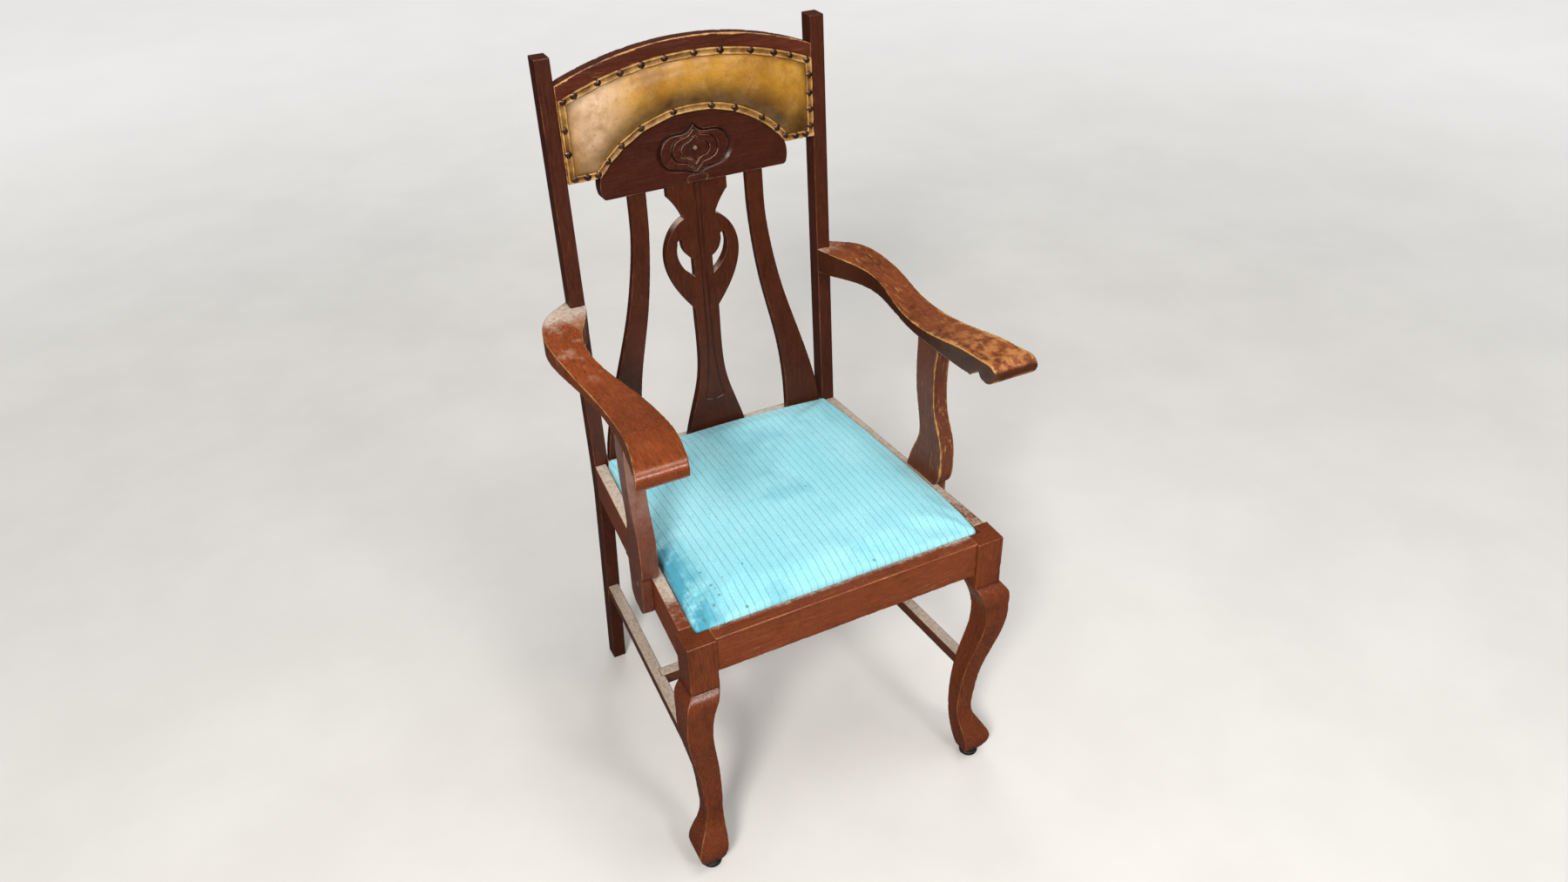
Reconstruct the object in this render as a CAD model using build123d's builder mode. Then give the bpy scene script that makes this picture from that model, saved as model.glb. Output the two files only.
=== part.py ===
# An open-backed wooden armchair: cabriole front legs, raked back posts, a nailed leather headrest over a carved
# tablet, pierced splat and curved slats, scrolled arms on lapped supports, and a drop-in seat.
# Millimetres. +Z is up, the sitter faces -Y, and the origin lies on the floor under the middle of the overall box.
# "Right" is +X, the right-hand side as seen from in front.
import os
from math import atan2, cos, radians, sin, sqrt, tan

from build123d import *

os.makedirs("parts", exist_ok=True)

# Stance
seat_height = 460  # top of the seat rails
front_half_width = 247.5  # over the front leg blocks
back_half_width = 215  # over the back posts
seat_depth = 451  # front of the leg blocks to the front of the posts

# Back posts
post_width = 22
post_depth = 27
post_height = 1092.5
back_rake = 31.5  # how far the post tops lie behind the seat joint
foot_rake = 47.5  # how far the back feet lie behind the seat joint
post_bend_drop = 65  # the rake of the back legs starts this far below the seat
post_bend_radius = 260
seat_bend_radius = 90

# Front legs, sawn to one template from the front and from the side
leg_block = 42
block_drop = 83  # the square block reaches this far below the seat
shoulder_drop = 15
shoulder_swell = 8
knee_drop = 37
knee_swell = 12
knee_splay = 0.3  # the part of the splay that the knee already has
shin_height = 180
shin_inset = 11.8
ankle_height = 128
ankle_inset = 16.5
instep_height = 85
instep_inset = 13.9
toe_height = 46
toe_swell = 6.3
pad_height = 22
pad_swell = 2.5
sole_inset = 4.5
hollow_drop = 72  # back of the knee, below the block
hollow_depth = 14.4
calf_height = 225
calf_depth = 4.7
heel_height = 140
heel_inset = 2.4
heel_sole = 10
leg_splay = 3.7  # the shin stands this much outward, and as much back
glide_thickness = 8
glide_radius = 15
glide_reach = 4  # forward of the middle of the sole

# Seat rails
rail_height = 58
rail_thickness = 34
side_rail_height = 62
side_rail_thickness = 30
back_rail_thickness = 24
rail_setback = 4
side_rail_setback = 5
front_ledge = 23
side_ledge = 18
rebate_depth = 18
bearer_width = 11
tenon_thickness = 10
tenon_height = 28
tenon_length = 13
tenon_drop = 6  # tenons start this far above the underside of the rails
back_tenon_setback = 19  # middle of the back rail's tenons behind the front of the posts

# Corner blocks
corner_block_leg = 52
corner_block_height = 30
corner_block_clearance = 2  # below the seat
corner_screw_length = 50

# Screws
screw_diameter = 4
screw_head_diameter = 8
support_screw_length = 28
support_screw_drops = (17, 38)  # below the top of the rail
support_screw_spread = 13  # each side of the middle of the support
arm_screw_length = 52
arm_screw_rise = 18  # above the arm base

# Stretchers
stretcher_width = 18
stretcher_height = 20
stretcher_front_top = 198
stretcher_back_top = 188
stretcher_housing = 8
cross_stretcher_setback = 239  # from the front of the leg blocks to its middle

# Back: the crest reaches the height of the posts, and drops are measured down the raked back from its top
crest_rise = 38
crest_thickness = 22
crest_tenon_height = 60
wing_drop = 173.3  # lower edge of the crest at its ends
arch_drop = 103  # middle of the arch between crest and tablet
arch_radius = 183.4
glue_line = 0.2
tablet_drop = 207.3  # lower edge of the tablet
tablet_bulge = 147  # half width at the bulged ends
tablet_corner = 143.5
tablet_corner_radius = 6
slat_setback = 3
slat_thickness = 13
splat_thickness = 15
back_housing = 11  # slats and splat run this far into the tablet and the rail

# Carving: half outlines of the flower from its tip to its lower point, at heights above the edge of the tablet
flower_outlines = [
    [(0, 90), (5, 83.5), (12, 78), (22, 76), (36, 75.5), (48, 71), (56, 62), (60, 50), (59, 38), (53, 28)]
    + [(43, 21.5), (30, 18.5), (20, 17), (10, 13.5), (0, 10)],
    [(0, 80.5), (4, 76), (11, 70.5), (19, 68.5), (28, 65.5), (34.5, 59), (37, 51), (36, 42), (31, 34.5)]
    + [(23, 30.5), (13, 28), (5, 21), (0, 15)],
    [(0, 70.5), (3.5, 66.5), (9, 62.5), (16, 60), (21.5, 55.5), (24, 49.5), (22.5, 42.5), (17, 38)]
    + [(10, 36), (4, 31), (0, 26)],
]
flower_grooves = [8, 3.2, 2.8]
flower_middle = 49
groove_width = 2.6
groove_depth = 2
bead_radius = 4
bead_height = 51
bud_length = 33
bud_width = 13
bud_height = 6

# Headrest
leather_margin = 18.5  # bare wood above the leather
leather_side_gap = 1
leather_thickness = 1.2
border_width = 10.5
border_thickness = 1.6
pad_rise = 13
pad_margin = 2  # between the border and the foot of the padding
nail_radius = 5.2
nail_height = 3.6
nail_shank_radius = 1
nail_shank_length = 13
# where the nails lie across the headrest, from -1 at its left end to 1 at its right
top_nails = [-0.985, -0.9, -0.712, -0.535, -0.364, -0.182, 0.054, 0.268, 0.514, 0.707, 0.841, 0.985]
arch_nails = [-0.707, -0.589, -0.418, -0.15, 0.161, 0.353, 0.578, 0.701]
wing_nails = [-0.975, -0.878, -0.793, 0.771, 0.867, 0.953]
left_nails = [42, 75]  # above the lower edge of the crest
right_nails = [16, 41, 65, 91]

# Arms: distances run forward from the front of the post, heights from the arm base
arm_base = 237  # underside at the post, above the seat
arm_inner_edge = [(30, 203), (65, 220), (110, 229.5), (175, 222), (250, 208), (315, 204), (375, 206.5)]
arm_outer_edge = [(5, 252), (30, 268.5), (75, 277), (135, 273.5), (215, 265), (290, 263.5), (355, 268)]
arm_front_inner = 217.5
arm_front_outer = 287
arm_top_edge = [(60, 34.5), (120, 31), (190, 25.7), (255, 29), (325, 38), (395, 48)]
arm_under_edge = [(0, 0), (100, 5), (190, 10.5), (280, 16), (404, 16)]
arm_back_rise = 39.5  # top of the arm at the post
arm_roll_radius = 15
arm_roll_reach = 434
arm_roll_rise = 32
arm_cleft = 29  # top of the cleft behind the roll
arm_horn = 23  # the outer corner laps this far past the front of the post
arm_horn_width = 17

# Arm supports: lapped over the outside of the side rails
support_reach = 278  # middle of the support, forward of the post
support_thickness = 25
support_lap = 8  # the part of the thickness that stands on the rail
support_front_edge = [(30, 0), (41, 14), (44, 38), (41, 78), (25, 118), (18, 160), (19, 205)]
support_back_edge = [(40, 0), (36, 14), (25, 42), (12, 76), (17, 115), (25, 160), (26, 205)]
support_head = 26  # half depth under the arm
tongue_length = 70
tongue_half_depth = 29
tongue_radius = 18
stub_depth = 28
stub_thickness = 10
stub_length = 9

# Drop-in seat
seat_gap = 1
seat_corner_radius = 12
cover_thickness = 1.2
cover_turn_under = 22
frame_thickness = 15
frame_width = 44
webbing_width = 50
webbing_thickness = 1.5
webbing_across = 3
webbing_along = 4
crown_height = 24  # middle of the seat above the rails
front_crown = 11
back_crown = 17
side_fall = 8  # how far the top falls from the middle line to the sides
tack_radius = 3
tack_head = 1
tack_length = 7
tacks_along = 9
tack_inset = 17

# Where the main joints lie
knee_reach = knee_swell - knee_splay * leg_splay
overall_depth = knee_reach + seat_depth + foot_rake + post_depth
block_front = knee_reach - overall_depth / 2
block_back = block_front + leg_block
block_inner = front_half_width - leg_block
block_bottom = seat_height - block_drop
post_front = block_front + seat_depth
post_inner = back_half_width - post_width
post_middle = back_half_width - post_width / 2
rail_bottom = seat_height - rail_height
rail_front = block_front + rail_setback
rail_front_x = front_half_width - side_rail_setback
rail_slope = (back_half_width - rail_front_x) / (post_front - block_back)
rebate_floor = seat_height - rebate_depth
opening_front = rail_front + front_ledge
back_angle = atan2(back_rake, post_height - seat_height)
crest_top = (post_height - seat_height) / cos(back_angle)
wing_bottom = crest_top - wing_drop
arch_top = crest_top - arch_drop
tablet_bottom = crest_top - tablet_drop
arm_bottom = seat_height + arm_base
arm_room = 2 * arm_back_rise


def rail_x(y, inset=0):
    # the outer face of the right side rail at y, moved inwards by inset
    return rail_front_x + rail_slope * (y - block_back) - inset * sqrt(1 + rail_slope**2)


def post_y(z):
    # the front of the post at height z
    if z >= seat_height:
        return post_front + (z - seat_height) * tan(back_angle)
    bend = seat_height - post_bend_drop
    return post_front + max(0, bend - z) * foot_rake / bend


def both_sides(half_plan):
    # a plan outline given for x > 0, completed with its mirror image
    return half_plan + [(-x, y) for x, y in reversed(half_plan)]


def seat_plan(inset, front, back):
    # a plan that follows the rails, inset from their outer faces
    return both_sides([(rail_x(front, inset), front), (rail_x(back, inset), back)])


arm_back = post_y(arm_bottom + arm_back_rise / 2)
support_y = arm_back - support_reach
back_plane = Plane((0, post_front, seat_height), x_dir=(1, 0, 0), z_dir=(0, -cos(back_angle), sin(back_angle)))
slat_plane = back_plane.offset(-slat_setback)
rail_face = Plane((rail_x(support_y), support_y, seat_height), x_dir=(rail_slope, 1, 0), z_dir=(1, -rail_slope, 0))
tongue_face = rail_face.offset(support_thickness - support_lap)

# The opening that the drop-in seat rests in, cut from the rails and the leg blocks
with BuildPart() as seat_opening:
    with BuildSketch(Plane.XY.offset(rebate_floor)):
        Polygon(*seat_plan(side_ledge, opening_front, post_front), align=None)
    extrude(amount=2 * rebate_depth)


# Screws. Each lies along local -Z with its countersunk head flush at the origin.
def screw(length):
    with BuildPart() as one:
        down = (Align.CENTER, Align.CENTER, Align.MAX)
        Cylinder(screw_diameter / 2, length, align=down)
        Cone(screw_diameter / 2, screw_head_diameter / 2, (screw_head_diameter - screw_diameter) / 2, align=down)
    return one.part


support_screw = screw(support_screw_length)
arm_screw = screw(arm_screw_length)
corner_screw = screw(corner_screw_length)

with BuildPart() as support_screws:
    front_drop, back_drop = support_screw_drops
    places = [(-support_screw_spread, -front_drop, 0), (support_screw_spread, -back_drop, 0)]
    with Locations(*[tongue_face * Location(place) for place in places]):
        add(support_screw)
    mirror(about=Plane.YZ)

arm_screw_height = arm_bottom + arm_screw_rise
with BuildPart() as arm_screws:
    arm_screw_seat = Plane(
        (post_middle, post_y(arm_screw_height) + post_depth, arm_screw_height), x_dir=(1, 0, 0), z_dir=(0, 1, 0)
    )
    with Locations(arm_screw_seat):
        add(arm_screw)
    mirror(about=Plane.YZ)

# Corner blocks fill the angles between the rails, under the seat
front_rail_back = rail_front + rail_thickness
bearer_front = post_front - bearer_width
front_brace = block_back + corner_block_leg
back_brace = bearer_front - corner_block_leg
back_corner_x = rail_x(bearer_front, side_rail_thickness)
front_corner_plan = [
    (block_inner - corner_block_leg, front_rail_back),
    (block_inner, front_rail_back),
    (block_inner, block_back),
    (rail_x(block_back, side_rail_thickness), block_back),
    (rail_x(front_brace, side_rail_thickness), front_brace),
]
back_corner_plan = [
    (rail_x(back_brace, side_rail_thickness), back_brace),
    (back_corner_x, bearer_front),
    (back_corner_x - corner_block_leg, bearer_front),
]
corner_block_top = rebate_floor - corner_block_clearance


def corner_screw_plane(plan):
    # on the long open side of a corner block, facing away from the corner
    (x0, y0), (x1, y1) = plan[0], plan[-1]
    middle = ((x0 + x1) / 2, (y0 + y1) / 2, corner_block_top - corner_block_height / 2)
    return Plane(middle, x_dir=(0, 0, 1), z_dir=(-abs(y1 - y0), (x1 - x0) * (1 if y1 > y0 else -1), 0))


with BuildPart() as corner_screws:
    with Locations(corner_screw_plane(front_corner_plan), corner_screw_plane(back_corner_plan)):
        add(corner_screw)
    mirror(about=Plane.YZ)

with BuildPart() as front_corner_block_right:
    with BuildSketch(Plane.XY.offset(corner_block_top)):
        Polygon(*front_corner_plan, align=None)
    extrude(amount=-corner_block_height)
    add(corner_screws.part, mode=Mode.SUBTRACT)

with BuildPart() as back_corner_block_right:
    with BuildSketch(Plane.XY.offset(corner_block_top)):
        Polygon(*back_corner_plan, align=None)
    extrude(amount=-corner_block_height)
    add(corner_screws.part, mode=Mode.SUBTRACT)

# Seat rails with their tenons
tenon_bottom = rail_bottom + tenon_drop
with BuildPart() as front_seat_rail:
    with BuildSketch(Plane.XY.offset(rail_bottom)):
        with Locations((0, rail_front + rail_thickness / 2)):
            Rectangle(2 * block_inner, rail_thickness)
    extrude(amount=rail_height)
    with BuildSketch(Plane.XY.offset(tenon_bottom)):
        with Locations((0, rail_front + rail_thickness / 2)):
            Rectangle(2 * (block_inner + tenon_length), tenon_thickness)
    extrude(amount=tenon_height)
    add(seat_opening.part, mode=Mode.SUBTRACT)

with BuildPart() as side_seat_rail_right:
    with BuildSketch(Plane.XY.offset(seat_height - side_rail_height)):
        Polygon(
            (rail_x(block_back), block_back),
            (rail_x(post_front), post_front),
            (rail_x(post_front, side_rail_thickness), post_front),
            (rail_x(block_back, side_rail_thickness), block_back),
            align=None,
        )
    extrude(amount=side_rail_height)
    with BuildSketch(Plane.XY.offset(tenon_bottom)):
        with Locations((rail_x(block_back, side_rail_thickness / 2), block_back), (post_middle, post_front)):
            Rectangle(tenon_thickness, 2 * tenon_length)
    extrude(amount=tenon_height)
    add(seat_opening.part, mode=Mode.SUBTRACT)
    add(support_screws.part, mode=Mode.SUBTRACT)
    add(corner_screws.part, mode=Mode.SUBTRACT)

# The bearer glued to the back rail carries the back edge of the seat
with BuildPart() as back_seat_bearer:
    with BuildSketch(Plane.XY.offset(rail_bottom)):
        Polygon(*seat_plan(side_rail_thickness, bearer_front, post_front), align=None)
    extrude(amount=rail_height - rebate_depth)
    add(corner_screws.part, mode=Mode.SUBTRACT)

# Slats and splat are sawn to patterns of points (distance from the middle, height above the seat), drawn for one
# height of the tablet and stretched to fit
pattern_height = 426


def fitted(pattern):
    return [(x, y * tablet_bottom / pattern_height) for x, y in pattern]


slat_inner_edge = [(126.5, 60), (117, 140), (96, 240), (83, 340)]
slat_outer_edge = [(179, 60), (156.5, 140), (127, 240), (109, 340)]
slat_foot = (128, 189)
slat_head = (80, 106)


def slat_edge(foot, sweep, head):
    return [(foot, -back_housing), *fitted(sweep), (head, tablet_bottom + back_housing)]


with BuildPart() as side_slat_right:
    with BuildSketch(slat_plane):
        with BuildLine():
            upright = ((0, 1), (0, 1))
            inner_edge = Spline(*slat_edge(slat_foot[0], slat_inner_edge, slat_head[0]), tangents=upright)
            outer_edge = Spline(*slat_edge(slat_foot[1], slat_outer_edge, slat_head[1]), tangents=upright)
            Line(inner_edge @ 0, outer_edge @ 0)
            Line(inner_edge @ 1, outer_edge @ 1)
        make_face()
    extrude(amount=-slat_thickness)

# The centre splat: a bell under the tablet, a pierced lobe and a fluted stem that spreads to the seat
splat_bell = [(47, 408), (33.5, 390), (25, 373)]
splat_lobe = [(25, 373), (48, 353), (59.5, 318), (54, 282), (38, 249), (19.5, 223)]
splat_stem = [(19.5, 223), (19, 145), (23, 100), (34, 58)]
splat_foot = 53
piercing_side = [(15, 277), (15, 306)]
piercing_inner = [(15, 306), (23, 312), (30, 325), (31, 335)]
piercing_top = [(31, 335), (35, 341), (39, 335)]
piercing_outer = [(39, 335), (40.5, 315), (33, 296), (15, 277)]
flute_edge = [(4.5, 426), (4.5, 300), (4.7, 200), (5.5, 150), (7.5, 120), (9.5, 100), (12, 85), (16.5, 65)]
flute_bracket = [(16.5, 65), (8, 60.5), (2.5, 58.5), (0, 54.5)]
flute_depth = 1

with BuildPart() as centre_splat:
    with BuildSketch(slat_plane):
        with BuildLine():
            bell = Spline(*fitted(splat_bell))
            Spline(*fitted(splat_lobe))
            Spline(*fitted(splat_stem), (splat_foot, -back_housing))
            splat_head = tablet_bottom + back_housing
            Polyline((0, splat_head), (splat_bell[0][0], splat_head), bell @ 0)
            Line((splat_foot, -back_housing), (0, -back_housing))
            mirror(about=Plane.YZ)
        make_face()
    extrude(amount=-splat_thickness)
    with BuildSketch(slat_plane):
        with BuildLine():
            Line(*fitted(piercing_side))
            Spline(*fitted(piercing_inner))
            ThreePointArc(*fitted(piercing_top))
            Spline(*fitted(piercing_outer))
        make_face()
        mirror(about=Plane.YZ)
    extrude(amount=-splat_thickness, mode=Mode.SUBTRACT)
    with BuildSketch(slat_plane):
        with BuildLine():
            flute = Spline(*fitted(flute_edge))
            Spline(*fitted(flute_bracket))
            Line((0, tablet_bottom), flute @ 0)
            mirror(about=Plane.YZ)
        make_face()
    extrude(amount=-flute_depth, mode=Mode.SUBTRACT)

with BuildPart() as side_slat_left:
    mirror(side_slat_right.part, about=Plane.YZ)

with BuildPart() as back_seat_rail:
    with BuildSketch(Plane.XY.offset(rail_bottom)):
        with Locations((0, post_front + back_rail_thickness / 2)):
            Rectangle(2 * post_inner, back_rail_thickness)
    extrude(amount=rail_height)
    with BuildSketch(Plane.XY.offset(tenon_bottom)):
        with Locations((0, post_front + back_tenon_setback)):
            Rectangle(2 * (post_inner + tenon_length), back_rail_thickness / 3)
    extrude(amount=tenon_height)
    for upright in (side_slat_left, centre_splat, side_slat_right):
        add(upright.part, mode=Mode.SUBTRACT)

# Crest rail and carved tablet meet along the arch under the headrest
arch_rise = arch_top - wing_bottom
arch_half = sqrt(arch_radius**2 - (arch_radius - arch_rise) ** 2)
with BuildPart() as crest_rail:
    with BuildSketch(back_plane):
        with BuildLine():
            ThreePointArc((-post_inner, crest_top - crest_rise), (0, crest_top), (post_inner, crest_top - crest_rise))
            Polyline((post_inner, crest_top - crest_rise), (post_inner, wing_bottom), (arch_half, wing_bottom))
            ThreePointArc((arch_half, wing_bottom), (0, arch_top), (-arch_half, wing_bottom))
            Polyline((-arch_half, wing_bottom), (-post_inner, wing_bottom), (-post_inner, crest_top - crest_rise))
        make_face()
    extrude(amount=-crest_thickness)
    with BuildSketch(back_plane.offset((tenon_thickness - crest_thickness) / 2)):
        tenon_middle = (wing_bottom + crest_top - crest_rise) / 2
        with Locations((post_inner, tenon_middle), (-post_inner, tenon_middle)):
            Rectangle(2 * tenon_length, crest_tenon_height)
    extrude(amount=-tenon_thickness)


def flower(outline, share, depth=0):
    # an outline of the flower, drawn in towards its middle
    half = [(x * share, tablet_bottom + flower_middle + (y - flower_middle) * share) for x, y in outline]
    with BuildSketch(back_plane.offset(-depth)) as whole:
        with BuildLine():
            Spline(*half)
            mirror(about=Plane.YZ)
        make_face()
    return whole.sketch


def flower_groove(outline, width):
    # slopes in from the outline to an upright inner wall
    half_width = max(x for x, _ in outline)
    wall, foot = 1 - width / half_width, 1 - 0.8 * width / half_width
    with BuildPart() as groove:
        loft([flower(outline, 1), flower(outline, foot, groove_depth)])
        extrude(flower(outline, wall), amount=-groove_depth, mode=Mode.SUBTRACT)
    return groove.part


tablet_radius = arch_radius - glue_line
tablet_half = sqrt(tablet_radius**2 - (arch_radius - arch_rise) ** 2)
with BuildPart() as carved_tablet:
    with BuildSketch(back_plane) as face:
        with BuildLine():
            ThreePointArc((-tablet_half, wing_bottom), (0, arch_top - glue_line), (tablet_half, wing_bottom))
            for side in (-1, 1):
                ThreePointArc(
                    (side * tablet_half, wing_bottom),
                    (side * tablet_bulge, (wing_bottom + tablet_bottom) / 2),
                    (side * tablet_corner, tablet_bottom),
                )
            Line((-tablet_corner, tablet_bottom), (tablet_corner, tablet_bottom))
        make_face()
        fillet(face.vertices().group_by(Axis.Y)[0], tablet_corner_radius)
    extrude(amount=-crest_thickness)
    for outline, width in zip(flower_outlines, flower_grooves):
        add(flower_groove(outline, width), mode=Mode.SUBTRACT)
    with BuildSketch(back_plane):
        with Locations((0, tablet_bottom + bud_height)):
            SlotOverall(bud_length, bud_width)
            SlotOverall(bud_length - groove_width, bud_width - groove_width, mode=Mode.SUBTRACT)
    extrude(amount=-groove_depth, mode=Mode.SUBTRACT)
    with Locations(back_plane * Location((0, tablet_bottom + bead_height, 0))):
        Sphere(bead_radius)
    for upright in (side_slat_left, centre_splat, side_slat_right):
        add(upright.part, mode=Mode.SUBTRACT)

# Stretchers: an H between the legs. The side pieces are housed in the front legs and back posts.
stretcher_front_y = block_back - stretcher_housing
stretcher_back_y = post_y(stretcher_back_top) + stretcher_housing
leg_middle = front_half_width - leg_block / 2


def stretcher_end(y, x, top):
    with BuildSketch(Plane.XZ.offset(-y)) as end:
        with Locations((x, top - stretcher_height / 2)):
            Rectangle(stretcher_width, stretcher_height)
    return end.sketch


cross_y = block_front + cross_stretcher_setback
cross_share = (cross_y - stretcher_front_y) / (stretcher_back_y - stretcher_front_y)
cross_top = stretcher_front_top + cross_share * (stretcher_back_top - stretcher_front_top)
cross_end = leg_middle + cross_share * (post_middle - leg_middle)
with BuildPart() as cross_stretcher:
    with BuildSketch(Plane.XY.offset(cross_top)):
        with Locations((0, cross_y)):
            Rectangle(2 * cross_end - stretcher_housing, stretcher_width)
    extrude(amount=-stretcher_height)

with BuildPart() as side_stretcher_right:
    loft(
        [
            stretcher_end(stretcher_front_y, leg_middle, stretcher_front_top),
            stretcher_end(stretcher_back_y, post_middle, stretcher_back_top),
        ]
    )
    add(cross_stretcher.part, mode=Mode.SUBTRACT)


# Front legs
def leg_view(plane, face, away):
    # the template seen from one side: face is the outer face of the block, away points out of it
    outer = [
        (shoulder_swell, block_bottom - shoulder_drop, 0),
        (knee_swell, block_bottom - knee_drop, knee_splay),
        (-shin_inset, shin_height, 1),
        (-ankle_inset, ankle_height, 1),
        (-instep_inset, instep_height, 1),
        (toe_swell, toe_height, 1),
        (pad_swell, pad_height, 1),
        (-sole_inset, glide_thickness, 1),
    ]
    inner = [
        (hollow_depth, block_bottom - hollow_drop, 1),
        (calf_depth, calf_height, 1),
        (-heel_inset, heel_height, 1),
        (heel_sole, glide_thickness, 1),
    ]
    back = face - away * leg_block
    with BuildSketch(plane) as view:
        with BuildLine():
            out_edge = Spline((face, block_bottom), *[(face + away * s + k * leg_splay, z) for s, z, k in outer])
            in_edge = Spline((back, block_bottom), *[(back + away * s + k * leg_splay, z) for s, z, k in inner])
            Line(out_edge @ 1, in_edge @ 1)
            Polyline((face, block_bottom), (face, seat_height), (back, seat_height), (back, block_bottom))
        make_face()
    return view.sketch


with BuildPart() as front_leg_right:
    extrude(leg_view(Plane.XZ, front_half_width, 1), amount=overall_depth, both=True)
    extrude(leg_view(Plane.YZ, block_front, -1), amount=overall_depth, both=True, mode=Mode.INTERSECT)
    for joint in (front_seat_rail, side_seat_rail_right, side_stretcher_right, corner_screws, seat_opening):
        add(joint.part, mode=Mode.SUBTRACT)

sole_middle = (heel_sole - leg_block - sole_inset) / 2
with BuildPart() as front_glides:
    with BuildSketch(Plane.XY):
        glide_y = block_front - sole_middle + leg_splay - glide_reach
        with Locations((front_half_width + sole_middle + leg_splay, glide_y)):
            Circle(glide_radius)
    extrude(amount=glide_thickness)
    mirror(about=Plane.YZ)

# Back posts
post_bend = seat_height - post_bend_drop
post_edge = [(foot_rake, 0), (0, post_bend), (0, seat_height), (back_rake, post_height)]
with BuildPart() as back_post_right:
    with BuildSketch(Plane.YZ.offset(post_inner)) as view:
        with BuildLine():
            front_edge = [(post_front + y, z) for y, z in post_edge]
            Polyline(*front_edge, *[(y + post_depth, z) for y, z in reversed(front_edge)], close=True)
        make_face()
        fillet(view.vertices().filter_by_position(Axis.Y, post_bend, post_bend), post_bend_radius)
        fillet(view.vertices().filter_by_position(Axis.Y, seat_height, seat_height), seat_bend_radius)
    extrude(amount=post_width)
    for joint in (side_seat_rail_right, back_seat_rail, crest_rail, side_stretcher_right, arm_screws, corner_screws):
        add(joint.part, mode=Mode.SUBTRACT)

# Arms: sawn in plan and in side view, notched round the post and rolled over at the front
roll_y = arm_back - arm_roll_reach
roll_z = arm_bottom + arm_roll_rise


def along_arm(points, lift=0):
    return [(arm_back - reach, lift + across) for reach, across in points]


with BuildPart() as support_stub_right:
    with BuildSketch(rail_face.offset((support_thickness - stub_thickness) / 2 - support_lap)):
        with Locations((0, arm_base)):
            Rectangle(stub_depth, 2 * (arm_under_edge[-1][1] + stub_length))
    extrude(amount=stub_thickness)

with BuildPart() as arm_right:
    with BuildSketch(Plane.XY.offset(arm_bottom - arm_back_rise)):
        with BuildLine():
            nose = roll_y - arm_roll_radius
            inner_edge = Spline(
                (post_inner, arm_back),
                *[(x, arm_back - reach) for reach, x in arm_inner_edge],
                (arm_front_inner, nose),
            )
            horn_tip = (back_half_width + 2, arm_back + arm_horn)
            outer_edge = Spline(
                horn_tip,
                (back_half_width + arm_horn_width, arm_back + arm_horn / 2),
                *[(x, arm_back - reach) for reach, x in arm_outer_edge],
                (arm_front_outer, nose),
            )
            Line(inner_edge @ 1, outer_edge @ 1)
            Polyline(horn_tip, (back_half_width, arm_back + arm_horn), (back_half_width, arm_back), inner_edge @ 0)
        make_face()
    extrude(amount=2 * arm_room)
    with BuildSketch(Plane.YZ):
        with BuildLine():
            lap_end = arm_back + arm_horn
            cleft = (roll_y + arm_roll_radius, arm_bottom + arm_cleft)
            top_edge = Spline(
                (arm_back, arm_bottom + arm_back_rise),
                *along_arm(arm_top_edge, arm_bottom),
                (roll_y, roll_z + arm_roll_radius),
                tangents=((-1, 0), (-1, 0)),
            )
            under_edge = Spline(*along_arm(arm_under_edge, arm_bottom))
            Line(under_edge @ 1, cleft)
            ThreePointArc(cleft, (roll_y, roll_z - arm_roll_radius), (roll_y - arm_roll_radius, roll_z))
            RadiusArc((roll_y - arm_roll_radius, roll_z), (roll_y, roll_z + arm_roll_radius), arm_roll_radius)
            Polyline(
                top_edge @ 0, (lap_end, arm_bottom + arm_back_rise), (lap_end, arm_bottom), under_edge @ 0
            )
        make_face()
    extrude(amount=2 * front_half_width, both=True, mode=Mode.INTERSECT)
    add(support_stub_right.part, mode=Mode.SUBTRACT)
    add(arm_screws.part, mode=Mode.SUBTRACT)
    add(back_post_right.part, mode=Mode.SUBTRACT)

with BuildPart() as arm_support_right:
    with BuildSketch(rail_face.offset(-support_lap)):
        with BuildLine():
            head = arm_base + arm_back_rise / 2
            front_edge = Spline(*[(-reach, z) for reach, z in support_front_edge], (-support_head, head))
            back_edge = Spline(*support_back_edge, (support_head, head))
            Line(front_edge @ 0, back_edge @ 0)
            Line(front_edge @ 1, back_edge @ 1)
        make_face()
    extrude(amount=support_thickness)
    with BuildSketch(rail_face) as tongue:
        with Locations((0, 0)):
            Rectangle(2 * tongue_half_depth, tongue_length, align=(Align.CENTER, Align.MAX))
        fillet(tongue.vertices().group_by(Axis.Y)[0], tongue_radius)
    extrude(amount=support_thickness - support_lap)
    add(arm_right.part, mode=Mode.SUBTRACT)
    add(support_screws.part, mode=Mode.SUBTRACT)

# Headrest: stuffing under leather, with a nailed border all round
crest_radius = (post_inner**2 + crest_rise**2) / (2 * crest_rise)
crest_centre = crest_top - crest_radius
arch_centre = arch_top - arch_radius


def headrest_top(x, inset):
    return crest_centre + sqrt((crest_radius - leather_margin - inset) ** 2 - x**2)


def headrest_bottom(x, inset):
    arch = arch_centre + sqrt(max(0, (arch_radius + inset) ** 2 - x**2))
    return max(arch, wing_bottom + inset)


def headrest_side(inset):
    return post_inner - leather_side_gap - inset


def headrest_outline(inset):
    side, wing = headrest_side(inset), wing_bottom + inset
    wing_end = sqrt((arch_radius + inset) ** 2 - (wing - arch_centre) ** 2)
    shoulder = headrest_top(side, inset)
    with BuildSketch(back_plane) as outline:
        with BuildLine():
            ThreePointArc((-side, shoulder), (0, headrest_top(0, inset)), (side, shoulder))
            Polyline((side, shoulder), (side, wing), (wing_end, wing))
            ThreePointArc((wing_end, wing), (0, headrest_bottom(0, inset)), (-wing_end, wing))
            Polyline((-wing_end, wing), (-side, wing), (-side, shoulder))
        make_face()
    return outline.sketch


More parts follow.
